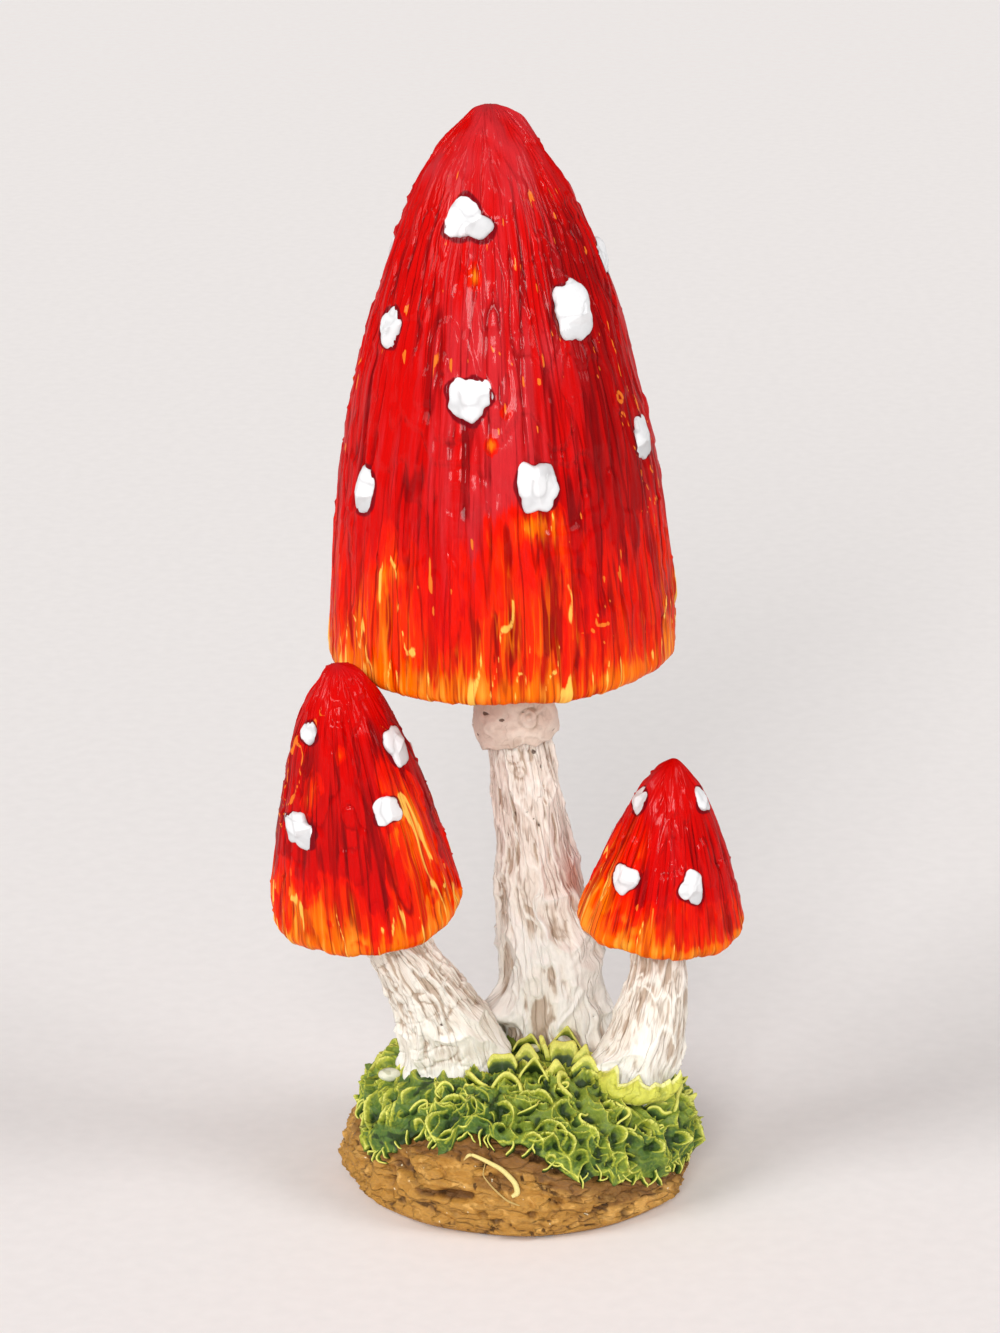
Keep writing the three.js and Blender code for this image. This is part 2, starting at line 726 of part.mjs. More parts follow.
/** Curls sown over the moss by the golden angle, from the crown down to the hem, clear of the feet. */
function curledMoss() {
  const goldenTurn = Math.PI * (3 - Math.sqrt(5));
  const reach = moss.crownCurlRadius + moss.curlWire;
  let blanket = mossBlanket();
  for (let i = 0; i < moss.curls; i++) {
    const turn = i * goldenTurn;
    const lowest = climbAt(hemHeight(turn)) + moss.hemMargin;
    const climb = lerp(lowest, moss.highestCurl, 1 - Math.sqrt((i + 0.5) / moss.curls));
    const clear = Object.values(toadstools).every(({ toadstool, spine }) => {
      return spine.getPoint(0).distanceTo(onMoss(turn, climb)) > toadstool.stem.foot + reach;
    });
    if (clear) blanket = blanket.add(mossCurl(turn, climb, 2 * i));
  }
  return withoutPockets(blanket);
}

ornament.add(piece("earth_base", geometryOf(withSockets(earthSolid())), paints.clay));
ornament.add(piece("moss_blanket", geometryOf(withSockets(curledMoss())), paints.green));
for (const [name, one] of Object.entries(toadstools)) {
  ornament.add(piece(`${name}_stem`, stemGeometry(one), paints.bone));
  ornament.add(capGroup(name, one.toadstool, one.seat));
}
ornament.add(piece("tall_stem_skirt", skirtGeometry(tallSpine), paints.bone));
ornament.add(piece("right_foot_leaf", footLeafGeometry(), paints.lime));
pebbles.forEach((pebble, i) => {
  ornament.add(piece(numbered("pebble", i), pebbleGeometry(pebble), paints.bone));
});
ornament.add(piece("straw_blade", strawGeometry(), paints.straw));

export default ornament;
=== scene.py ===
"""Dresses the miniature toadstool ornament for rendering.

Three cone-capped toadstools of cast, hand-painted resin stand in a clod of earth under curly moss. Each node
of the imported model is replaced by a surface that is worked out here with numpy, in the same place, under
procedural paint. Lengths are millimetres until a mesh is made, which is in metres. +Z is up and the front
faces -Y. A turn is an angle about an upright axis, 0 at the front and positive towards +X: fields hold it in
degrees and formulas in radians. A grid has its rows from pole to pole and its columns round the axis.
"""

import logging
import math
from dataclasses import dataclass, field
from enum import Enum
from functools import partial

import bpy
import numpy as np
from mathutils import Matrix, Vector


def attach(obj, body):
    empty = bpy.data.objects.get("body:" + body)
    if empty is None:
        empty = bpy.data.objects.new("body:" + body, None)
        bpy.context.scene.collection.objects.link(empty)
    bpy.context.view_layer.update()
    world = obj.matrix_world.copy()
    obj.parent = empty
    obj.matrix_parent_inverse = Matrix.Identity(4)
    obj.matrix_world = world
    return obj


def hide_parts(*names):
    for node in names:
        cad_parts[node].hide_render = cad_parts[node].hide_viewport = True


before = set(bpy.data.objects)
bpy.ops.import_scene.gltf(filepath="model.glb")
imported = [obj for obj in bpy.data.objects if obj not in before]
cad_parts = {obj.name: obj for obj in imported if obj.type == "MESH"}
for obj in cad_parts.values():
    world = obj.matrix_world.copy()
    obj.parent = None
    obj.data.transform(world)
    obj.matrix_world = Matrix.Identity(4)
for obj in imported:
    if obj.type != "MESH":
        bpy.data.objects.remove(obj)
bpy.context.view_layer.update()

Array = np.ndarray
Masks = dict[str, Array]
Tree = bpy.types.NodeTree
Socket = bpy.types.NodeSocket
Point = tuple[float, float, float]
FULL = 2.0 * math.pi
GOLDEN = math.pi * (3 - math.sqrt(5))
MM = 0.001
BODY = "root"
SAMPLES = 400  # points on a finely sampled curve
FLANK_SAMPLES = 600  # points on a cap's flank before its rows are spread evenly
LATTICE_ROWS = 97  # rows of random values before a noise repeats along the axis
PLANE_CELLS = 64  # cells before a flat noise repeats
log = logging.getLogger("ornament")


class Slot(Enum):
    """The record's material slots."""

    CAP = "cap"
    WART = "wart"
    STEM = "stem"
    MOSS = "moss"
    LEAF = "leaf"
    PEBBLE = "pebble"
    STRAW = "straw"
    EARTH = "earth"


# Curves and noise


def eased(value: Array, low: float, high: float) -> Array:
    """Smooth step: 0 up to low, 1 from high, and 3 t^2 - 2 t^3 between them."""
    t = np.clip((value - low) / (high - low), 0.0, 1.0)
    return t * t * (3.0 - 2.0 * t)


def bell(value: Array, width: float) -> Array:
    """Gaussian bell: exp(-(value / width)^2)."""
    return np.exp(-np.square(value / width))


def wrapped(turn: Array) -> Array:
    """The same turn between minus and plus half a circle."""
    return np.arctan2(np.sin(turn), np.cos(turn))


def about(turn: Array, degrees: float, width: float) -> Array:
    """Bell of the way round to a turn in degrees; its width is in radians."""
    return bell(wrapped(turn - math.radians(degrees)), width)


def lumps(turn: Array, along: Array | float, seed: float) -> Array:
    """The part's own slow lumps, a sum of three sines of the turn, between about -1 and 1."""
    slow = 0.5 * np.sin(3 * turn + 1.7 * along + seed) + 0.3 * np.sin(7 * turn - 2.3 * along + 2 * seed)
    return slow + 0.2 * np.sin(12 * turn + 4.1 * along + 3 * seed)


def noise(turn: Array, along: Array, columns: int, rows: float, seed: int) -> Array:
    """Value noise, 0 to 1, that closes round the turn.

    A point takes the random values of its cell's four corners, mixed by smooth steps of its place in it.

    Args:
        turn: turn of each point.
        along: place of each point along the axis, in any unit.
        columns: cells round the full circle.
        rows: cells to each unit along.
        seed: seed of the lattice.

    Returns:
        One value for each point.
    """
    lattice = np.random.default_rng(seed).random((LATTICE_ROWS, columns))
    u, v = np.broadcast_arrays(turn / FULL * columns, along * rows)
    i, j = np.floor(u).astype(int), np.floor(v).astype(int)
    across, down = eased(u - i, 0.0, 1.0), eased(v - j, 0.0, 1.0)
    i, j = i % columns, j % LATTICE_ROWS
    after, below = (i + 1) % columns, (j + 1) % LATTICE_ROWS
    upper = lattice[j, i] * (1 - across) + lattice[j, after] * across
    lower = lattice[below, i] * (1 - across) + lattice[below, after] * across
    return upper * (1 - down) + lower * down


def cloud(turn: Array, along: Array, columns: int, rows: float, seed: int, octaves: int = 3) -> Array:
    """Layered noise, 0 to 1: each octave has twice the cells and half the weight of the one before.

    Args:
        turn, along, columns, rows, seed: as noise() takes them, for the first octave.
        octaves: number of layers.

    Returns:
        One value for each point.
    """
    total, weight = 0.0, 0.0
    for k in range(octaves):
        total = total + 0.5**k * noise(turn, along, columns * 2**k, rows * 2**k, seed + k)
        weight += 0.5**k
    return total / weight


def cells(
    turn: Array, along: Array, girth: float, base: int, wide: float, long: float, seed: int, octaves: int = 2
) -> Array:
    """Layered noise about zero, with cells of a width and a length in millimetres on a girth."""
    return cloud(turn, along, round(girth / wide), 1 / long, base + seed, octaves) - 0.5


def veined(value: Array, sharpness: float) -> Array:
    """Thin lines where a noise passes its middle: (1 - |2 value - 1|) ^ sharpness."""
    return np.power(1.0 - np.abs(2.0 * value - 1.0), sharpness)


def flat_noise(x: Array, y: Array, cell: float, seed: int) -> Array:
    """Noise on a plane, with cells of a size in millimetres."""
    return noise(x / (PLANE_CELLS * cell) * FULL, y, PLANE_CELLS, 1.0 / cell, seed)


def on_axis(radius: Array, turn: Array, height: Array) -> Array:
    """Points at a radius, a turn and a height: (r sin t, -r cos t, h)."""
    radius, turn, height = np.broadcast_arrays(radius, turn, height)
    return np.stack([radius * np.sin(turn), -radius * np.cos(turn), height], axis=-1)


def unit(vectors: Array) -> Array:
    """The vectors divided by their lengths."""
    return vectors / np.linalg.norm(vectors, axis=-1, keepdims=True)


def leaning(right: float, front: float) -> Array:
    """A direction that leans from straight up, in degrees: (tan right, -tan front, 1), made unit long."""
    return unit(np.array([math.tan(math.radians(right)), -math.tan(math.radians(front)), 1.0]))


def travelled(steps: Array) -> Array:
    """The distance from the start at each point of a line, from the lengths of its steps."""
    return np.concatenate([[0.0], np.cumsum(steps)])


def even_rows(radius: Array, height: Array, rows: int) -> Array:
    """Places along a profile, as fractional indices, that divide its length into even steps."""
    length = travelled(np.hypot(np.diff(radius), np.diff(height)))
    return np.interp(np.linspace(0.0, length[-1], rows), length, np.arange(len(length)))


def turns(columns: int) -> Array:
    """One row of turns, evenly round."""
    return np.arange(columns)[None, :] * (FULL / columns)


def with_poles(points: Array) -> Array:
    """A grid of points with one more row at each end, which lies at the middle of the row beside it."""
    first, last = (points[k].mean(axis=0) + 0 * points[:1] for k in (0, -1))
    return np.concatenate([first, points, last])


# Meshes


@dataclass
class Skin:
    """A closed surface on a grid whose first and last rows are each one point."""

    points: Array  # rows x columns x 3, in millimetres
    paint: Masks = field(default_factory=dict)  # masks and vectors by attribute, which spread over the grid

    def once(self, grid: Array) -> Array:
        """Values as a list that holds each pole once.

        Args:
            grid: values or vectors, which are spread over the surface's grid first.

        Returns:
            The first row's mean, every value between and the last row's mean.
        """
        tail = grid.shape[2:]
        grid = np.broadcast_to(grid, self.points.shape[:2] + tail)
        return np.concatenate([grid[:1].mean(axis=1), grid[1:-1].reshape(-1, *tail), grid[-1:].mean(axis=1)])

    def faces(self) -> tuple[Array, Array]:
        """Quads between the rows and triangles round the poles, turned so that they face outwards.

        They are turned over if the sum of the quads' signed volumes about the surface's middle is negative.

        Returns:
            Quads and triangles as rows of vertex numbers.
        """
        rows, columns = self.points.shape[:2]
        last = 1 + (rows - 2) * columns
        number = np.arange(1, last).reshape(-1, columns)
        after = np.roll(number, -1, axis=1)
        quads = np.stack([number[:-1], number[1:], after[1:], after[:-1]], axis=-1).reshape(-1, 4)
        top = np.stack([0 * number[0], number[0], after[0]], axis=-1)
        bottom = np.stack([0 * number[0] + last, after[-1], number[-1]], axis=-1)
        points = self.once(self.points) - self.points.reshape(-1, 3).mean(axis=0)
        a, b, c, d = (points[quads[:, k]] for k in range(4))
        volume = np.einsum("ij,ij->", a, np.cross(b, c)) + np.einsum("ij,ij->", a, np.cross(c, d))
        order = -1 if volume < 0 else 1
        return quads[:, ::order], np.concatenate([top, bottom])[:, ::order]


def mesh_of(name: str, skins: list[Skin]) -> bpy.types.Mesh:
    """One mesh of several skins, in metres, smooth, with their paint as point attributes.

    Args:
        name: name of the mesh.
        skins: surfaces that all carry the same paint.

    Returns:
        The new mesh.
    """
    points = [skin.once(skin.points) for skin in skins]
    firsts = np.cumsum([0, *map(len, points)])
    faces = [[side + first for side in skin.faces()] for skin, first in zip(skins, firsts)]
    quads, triangles = (np.concatenate(sides) for sides in zip(*faces))
    starts = np.concatenate([np.arange(0, quads.size, 4), np.arange(0, triangles.size, 3) + quads.size])
    mesh = bpy.data.meshes.new(name)
    mesh.vertices.add(int(firsts[-1]))
    mesh.vertices.foreach_set("co", (np.concatenate(points) * MM).ravel())
    mesh.loops.add(quads.size + triangles.size)
    mesh.loops.foreach_set("vertex_index", np.concatenate([quads.ravel(), triangles.ravel()]))
    mesh.polygons.add(len(starts))
    mesh.polygons.foreach_set("loop_start", starts)
    mesh.polygons.foreach_set("use_smooth", np.ones(len(starts), bool))
    mesh.update(calc_edges=True)
    for key in skins[0].paint:
        values = np.concatenate([skin.once(skin.paint[key]) for skin in skins])
        kind, member = ("FLOAT_VECTOR", "vector") if values.ndim == 2 else ("FLOAT", "value")
        layer = mesh.attributes.new(key, kind, "POINT")
        layer.data.foreach_set(member, values.astype(np.float32).ravel())
    return mesh


def add_piece(name: str, skins: Skin | list[Skin], finish: "Finish", node: str = "") -> None:
    """Makes one piece of the ornament, dresses it and lets it ride on the body.

    Args:
        name: name of the piece.
        skins: its surface or surfaces.
        finish: the finish that it is painted with.
        node: name of the CAD node that it stands for, if any.
    """
    mesh = mesh_of(name, [skins] if isinstance(skins, Skin) else skins)
    mesh.materials.append(finish.material())
    piece = bpy.data.objects.new(name, mesh)
    bpy.context.scene.collection.objects.link(piece)
    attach(piece, BODY)
    if node:
        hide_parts(node)
    log.info("%s: %d triangles, %s", name, sum(len(p.vertices) - 2 for p in mesh.polygons), finish.name)


# Finishes


def linear(colour: str) -> tuple[float, float, float, float]:
    """Linear light of each part c of a colour: c / 12.92 when dark, ((c + 0.055) / 1.055) ^ 2.4 otherwise.

    Args:
        colour: sRGB hex.

    Returns:
        Linear RGBA.
    """
    parts = [int(colour[k : k + 2], 16) / 255 for k in (1, 3, 5)]
    r, g, b = (c / 12.92 if c <= 0.04045 else ((c + 0.055) / 1.055) ** 2.4 for c in parts)
    return (r, g, b, 1.0)


def bare_tree(owner: bpy.types.Material | bpy.types.World) -> Tree:
    """Empties a node tree.

    Args:
        owner: the material or world that has it.

    Returns:
        The tree.
    """
    owner.use_nodes = True
    owner.node_tree.nodes.clear()
    return owner.node_tree


def add(tree: Tree, kind: str, feeds: dict, out: str | int = 0, **settings: object) -> Socket | None:
    """Adds a shader node, sets its properties and feeds its inputs.

    Args:
        tree: the node tree.
        kind: Blender's node type without its first part, ShaderNode.
        feeds: for each input, by name or number, the socket to link or the value to set.
        out: name or number of the output that is wanted.
        settings: properties of the node.

    Returns:
        That output, if the node has any.
    """
    node = tree.nodes.new("ShaderNode" + kind)
    for key, value in settings.items():
        setattr(node, key, value)
    for key, value in feeds.items():
        if isinstance(value, Socket):
            tree.links.new(value, node.inputs[key])
        else:
            node.inputs[key].default_value = value
    return node.outputs[out] if node.outputs else None


def thin_lines(tree: Tree, place: Socket, apart: float) -> Socket:
    """Adds the nodes of thin lines: 1 where a noise is at its middle, eased to 0 at 0.055 on either side.

    Args:
        tree: the node tree.
        place: where the noise is read.
        apart: size of its cells in millimetres.

    Returns:
        The lines, 0 to 1.
    """
    texture = add(tree, "TexNoise", {"Vector": place, "Scale": 1 / (apart * MM), "Detail": 1.5})
    off = add(tree, "Math", {0: texture, 1: 0.5}, operation="SUBTRACT")
    off = add(tree, "Math", {0: off}, operation="ABSOLUTE")
    return add(tree, "MapRange", {0: off, 1: 0.0, 2: 0.055, 3: 1.0, 4: 0.0}, interpolation_type="SMOOTHSTEP")


@dataclass(frozen=True)
class Coat:
    """One coat of paint over those before it."""

    mask: str  # the attribute that says where it lies
    colour: str  # sRGB hex
    low: float  # mask value at which it starts to cover
    high: float  # mask value at which it covers fully
    ragged: float = 0.3  # how far the grain shifts the mask, so that the brush skips
    cover: float = 1.0  # opacity where it covers
    stroke: float = 0.0  # unless 0, it lies only in thin lines about this many millimetres apart


@dataclass(frozen=True)
class Finish:
    """A painted finish: a base colour with coats over it, a fine grain and a sheen. Sizes are millimetres."""

    name: str  # what the real finish is
    base: str  # sRGB hex of the undercoat
    coats: tuple[Coat, ...]  # what is painted over it, in order
    roughness: tuple[float, float]  # of the smooth and of the dry parts of the brush work
    grain: float  # size of the grain
    mottle: float  # share by which the grain lightens and darkens the colour
    relief: float  # height of the grain
    streaks: bool = False  # whether the grain follows the piece's own attribute for the brush's direction
    lacquer: float = 0.0  # weight of the clear coat
    gloss: float = 0.2  # roughness of the clear coat
    shine: float = 0.35  # specular level under the clear coat
    carve: tuple[float, float] = (1.0, 0.0)  # distance between thin carved lines and their depth
    peel: tuple[float, float] = (1.0, 0.0)  # size and height of the film's own small lumps
    worn: str = ""  # the attribute that says where the carved lines are worn away

    def material(self) -> bpy.types.Material:
        """The finish as a material, made once: coats, mottle, brush work, carved lines and film.

        Returns:
            The material.
        """
        made = bpy.data.materials.get(self.name)
        if made:
            return made
        made = bpy.data.materials.new(self.name)
        tree = bare_tree(made)
        if self.streaks:
            place = add(tree, "Attribute", {}, "Vector", attribute_name="brush")
        else:
            place = add(tree, "TexCoord", {}, "Object")
        texture = {"Vector": place, "Scale": 1 / (self.grain * MM), "Detail": 3.0, "Roughness": 0.6}
        grain = add(tree, "TexNoise", texture)
        colour = self.painted(tree, grain, place)
        value = add(tree, "MapRange", {0: grain, 1: 0.3, 2: 0.7, 3: 1 - self.mottle, 4: 1 + self.mottle})
        colour = add(tree, "HueSaturation", {"Value": value, "Color": colour})
        smooth, dry = self.roughness
        rough = add(tree, "MapRange", {0: grain, 1: 0.35, 2: 0.65, 3: smooth, 4: dry})
        height = add(tree, "Math", {0: grain, 1: self.relief}, operation="MULTIPLY")
        (apart, depth), (size, swell) = self.carve, self.peel
        if depth:
            lines = thin_lines(tree, place, apart)
            if self.worn:
                worn = add(tree, "Attribute", {}, "Fac", attribute_name=self.worn)
                left = add(tree, "Math", {0: 1.0, 1: worn}, operation="SUBTRACT")
                lines = add(tree, "Math", {0: lines, 1: left}, operation="MULTIPLY")
            height = add(tree, "Math", {0: lines, 1: -depth, 2: height}, operation="MULTIPLY_ADD")
        if swell:
            spot = add(tree, "TexCoord", {}, "Object")
            lump = add(tree, "TexNoise", {"Vector": spot, "Scale": 1 / (size * MM), "Detail": 2.0})
            height = add(tree, "Math", {0: lump, 1: swell, 2: height}, operation="MULTIPLY_ADD")
        normal = add(tree, "Bump", {"Height": height, "Distance": MM, "Strength": 1.0})
        feeds = {"Base Color": colour, "Roughness": rough, "Normal": normal, "Specular IOR Level": self.shine}
        feeds |= {"Coat Weight": self.lacquer, "Coat Roughness": self.gloss}
        add(tree, "OutputMaterial", {"Surface": add(tree, "BsdfPrincipled", feeds)})
        return made

    def painted(self, tree: Tree, grain: Socket, place: Socket) -> Socket:
        """The undercoat with each coat mixed over it where its mask, shifted by the grain, passes its limits.

        Args:
            tree: the node tree.
            grain: the grain, 0 to 1.
            place: where the thin lines are read.

        Returns:
            The colour.
        """
        colour = linear(self.base)
        for coat in self.coats:
            mask = add(tree, "Attribute", {}, "Fac", attribute_name=coat.mask)
            mask = add(tree, "Math", {0: grain, 1: coat.ragged, 2: mask}, operation="MULTIPLY_ADD")
            low, high = (limit + coat.ragged / 2 for limit in (coat.low, coat.high))
            limits = {0: mask, 1: low, 2: high, 3: 0.0, 4: coat.cover}
            cover = add(tree, "MapRange", limits, interpolation_type="SMOOTHSTEP")
            if coat.stroke:
                thin = thin_lines(tree, place, coat.stroke)
                cover = add(tree, "Math", {0: cover, 1: thin}, operation="MULTIPLY")
            colour = add(tree, "Mix", {0: cover, 6: colour, 7: linear(coat.colour)}, 2, data_type="RGBA")
        return colour


# Red acrylic brushed over a yellow-orange undercoat under a semi-gloss lacquer: the orange shows at the rim
# and where the brush skipped. Dark red wash and painted shade lie in the carved lines, a painted shadow lies
# under each plate's low edge, painted shade darkens the right side, and the dusty rose is dry-brushing and
# painted sheen.
CAP_PAINT = Finish(
    "lacquered_red_acrylic",
    "#cc0402",
    (
        Coat("rose_and_reflection", "#c42a30", 0.3, 0.85, 0.35, 0.8),
        Coat("wash_and_shade", "#860306", 0.35, 0.95, 0.3, 0.75),
        Coat("wash_and_shade", "#5c0206", 0.0, 0.6, 0.2, 0.5, 1.25),
        Coat("wash_and_shade", "#8a0408", 0.0, 0.6, 0.2, 0.15, 0.55),
        Coat("ember", "#dd1000", 0.12, 0.3, 0.3),
        Coat("ember", "#e62600", 0.38, 0.62, 0.4),
        Coat("ember", "#f46600", 0.72, 1.05, 0.4),
        Coat("furrow", "#920602", 0.35, 0.9, 0.25, 0.8),
        Coat("ember", "#800400", 0.12, 0.4, 0.2, 0.5, 1.25),
        Coat("ember", "#f87c06", 0.45, 0.95, 0.2, 0.6, 0.7),
        Coat("ember", "#ffb840", 0.8, 1.3, 0.2, 0.55, 1.7),
        Coat("crest", "#ffc658", 0.55, 0.85, 0.2, 0.85),
        Coat("chip", "#ee7a26", 0.4, 0.6, 0.1, 0.9),
        Coat("ring", "#6c0410", 0.35, 0.8, 0.1, 0.9),
    ),
    roughness=(0.38, 0.55), grain=0.2, mottle=0.1, relief=0.05, streaks=True,
    lacquer=0.18, gloss=0.12, shine=0.01, carve=(1.25, 0.1), peel=(0.45, 0.045), worn="worn",
)

# Thick white acrylic dabbed on with a brush: satin, greyer where it is thin, with painted shade on the facets
# turned away from the key lamp and in the creases.
WART_PAINT = Finish(
    "thick_white_acrylic",
    "#e7e7e8",
    (Coat("hollow", "#c0bfc0", 0.3, 1.0, 0.25, 0.8),),
    roughness=(0.45, 0.6), grain=0.35, mottle=0.02, relief=0.03,
)

# Dark brown in the pinholes of the cast resin.
PIT_DARK = Coat("pit", "#5e4636", 0.45, 0.8, 0.2, 0.9)

# Bone-white resin with a brown wash wiped off the ridges, so that the hollows keep it; the hollows' brown is
# also painted shade, most under the web and towards the cap. A pink coat is painted red light from a nearby
# cap.
STEM_PAINT = Finish(
    "washed_and_shaded_bone_resin",
    "#eee6d9",
    (
        Coat("hollow", "#b0947a", 0.25, 0.85, 0.3, 0.72),
        Coat("hollow", "#987c62", -0.3, 0.4, 0.2, 0.5, 0.8),
        Coat("hollow", "#8c7058", -0.5, 0.5, 0.2, 0.4, 0.45),
        Coat("rose_and_reflection", "#dda58c", 0.3, 0.9, 0.3, 0.6),
        Coat("vein", "#f5f0e5", 0.35, 0.8, 0.3, 0.9),
        Coat("foot", "#f4f1ea", 0.35, 0.8, 0.5, 0.85),
        PIT_DARK,
    ),
    roughness=(0.5, 0.7), grain=0.16, mottle=0.06, relief=0.05, streaks=True, carve=(0.8, 0.07),
)

# The collar under the cap: the same resin, smoother, greyer as painted shade of the cap, with wash and
# painted shade in its hollows.
SKIRT_PAINT = Finish(
    "washed_and_shaded_grey_resin",
    "#dfd0c0",
    (
        Coat("hollow", "#a1866e", 0.35, 0.95, 0.4, 0.75),
        Coat("hollow", "#8f745c", -0.4, 0.6, 0.3, 0.35, 1.1),
        Coat("vein", "#ebdfd0", 0.4, 0.85, 0.3, 0.7),
        PIT_DARK,
    ),
    roughness=(0.5, 0.7), grain=0.35, mottle=0.05, relief=0.03,
)

# Dark green resin, dry-brushed first with a lighter green, which is also painted light higher up and on the
# ribbons' tops, and then with lime on the leaf edges; a darker green is painted shade in the hollows, low on
# the ribbons and under the left toadstool.
MOSS_PAINT = Finish(
    "dry_brushed_lit_and_shaded_green_resin",
    "#4d6b28",
    (
        Coat("drybrush_and_light", "#7d8e2c", 0.35, 0.85, 0.45, 0.8),
        Coat("drybrush_and_light", "#929f3c", -0.2, 0.8, 0.3, 0.45, 0.8),
        Coat("hollow", "#253a14", 0.2, 0.7, 0.3, 0.95),
        Coat("lime", "#a2aa32", 0.3, 0.6, 0.3, 0.9),
        Coat("lime", "#dcdc6c", 0.62, 0.9, 0.25, 0.95),
    ),
    roughness=(0.45, 0.65), grain=0.28, mottle=0.16, relief=0.06,
)

# Lime acrylic on the leafy frill, with painted shade in its folds, in its ruffles' troughs and where it curls
# under.
LEAF_PAINT = Finish(
    "lime_acrylic",
    "#cacb50",
    (
        Coat("hollow", "#929c3c", 0.35, 0.95, 0.3, 0.75),
        Coat("hollow", "#84902e", -0.6, 0.6, 0.3, 0.25, 1.3),
        Coat("lime", "#ebea9c", 0.4, 0.85, 0.3, 0.9),
    ),
    roughness=(0.4, 0.6), grain=0.3, mottle=0.1, relief=0.07, carve=(1.3, 0.06),
)

# Pale stone-coloured resin.
PEBBLE_PAINT = Finish(
    "pale_stone_resin",
    "#dcdcc6",
    (Coat("hollow", "#a9ab8b", 0.4, 1.0, 0.4, 0.7),),
    roughness=(0.45, 0.6), grain=0.3, mottle=0.05, relief=0.03,
)

# Straw-yellow acrylic on a thin cast blade.
STRAW_PAINT = Finish(
    "straw_yellow_acrylic",
    "#e0cf84",
    (Coat("hollow", "#b08c4c", 0.4, 1.0, 0.3, 0.8),),
    roughness=(0.4, 0.6), grain=0.25, mottle=0.06, relief=0.02,
)

# Ochre resin with a dark brown wash in the cracks, dark pits, painted shade below the moss's hem, in low
# spots and in the recesses under the ledges, a painted shadow under each flake's step, tan dry-brushing on
# the ledges and a few mica flecks.
EARTH_PAINT = Finish(
    "washed_and_shaded_ochre_resin",
    "#b58338",
    (
        Coat("crest", "#dba85a", 0.3, 0.85, 0.4, 0.8),
        Coat("shade", "#714820", 0.3, 0.9, 0.4, 0.8),
        Coat("shade", "#523416", -0.6, 0.9, 0.2, 0.5, 1.8),
        Coat("crack", "#452a12", 0.35, 0.85, 0.25, 0.8),
        Coat("fleck", "#efe0bd", 0.5, 0.7, 0.1, 0.9),
    ),
    roughness=(0.5, 0.75), grain=0.22, mottle=0.14, relief=0.1, streaks=True, carve=(1.8, 0.1),
)


# Toadstools


@dataclass(frozen=True)
class Wart:
    """A dab of thick paint on a cap."""

    turn: float
    down: float  # share of the cap's height below its tip
    wide: float
    high: float
    proud: float  # thickness above the cap
    lobes: tuple[Point, ...] = ((3, 0.08, 40.0), (5, 0.05, 10.0))  # number round, share of radius, crest

    def outline(self, angle: Array) -> Array:
        """The outline's share of its ellipse at an angle from the right: 1 + the lobes' cosines."""
        return 1.0 + sum(size * np.cos(n * (angle - math.radians(crest))) for n, size, crest in self.lobes)


@dataclass(frozen=True)
class Patch:
    """A patch of a cap where the orange shows early or, with a negative gain, where the red stays."""

    turn: float
    down: float  # share of the cap's height below its tip
    wide: float  # half width in degrees
    high: float  # half height as a share of the cap's height
    gain: float  # how much it shifts the paint from red to orange


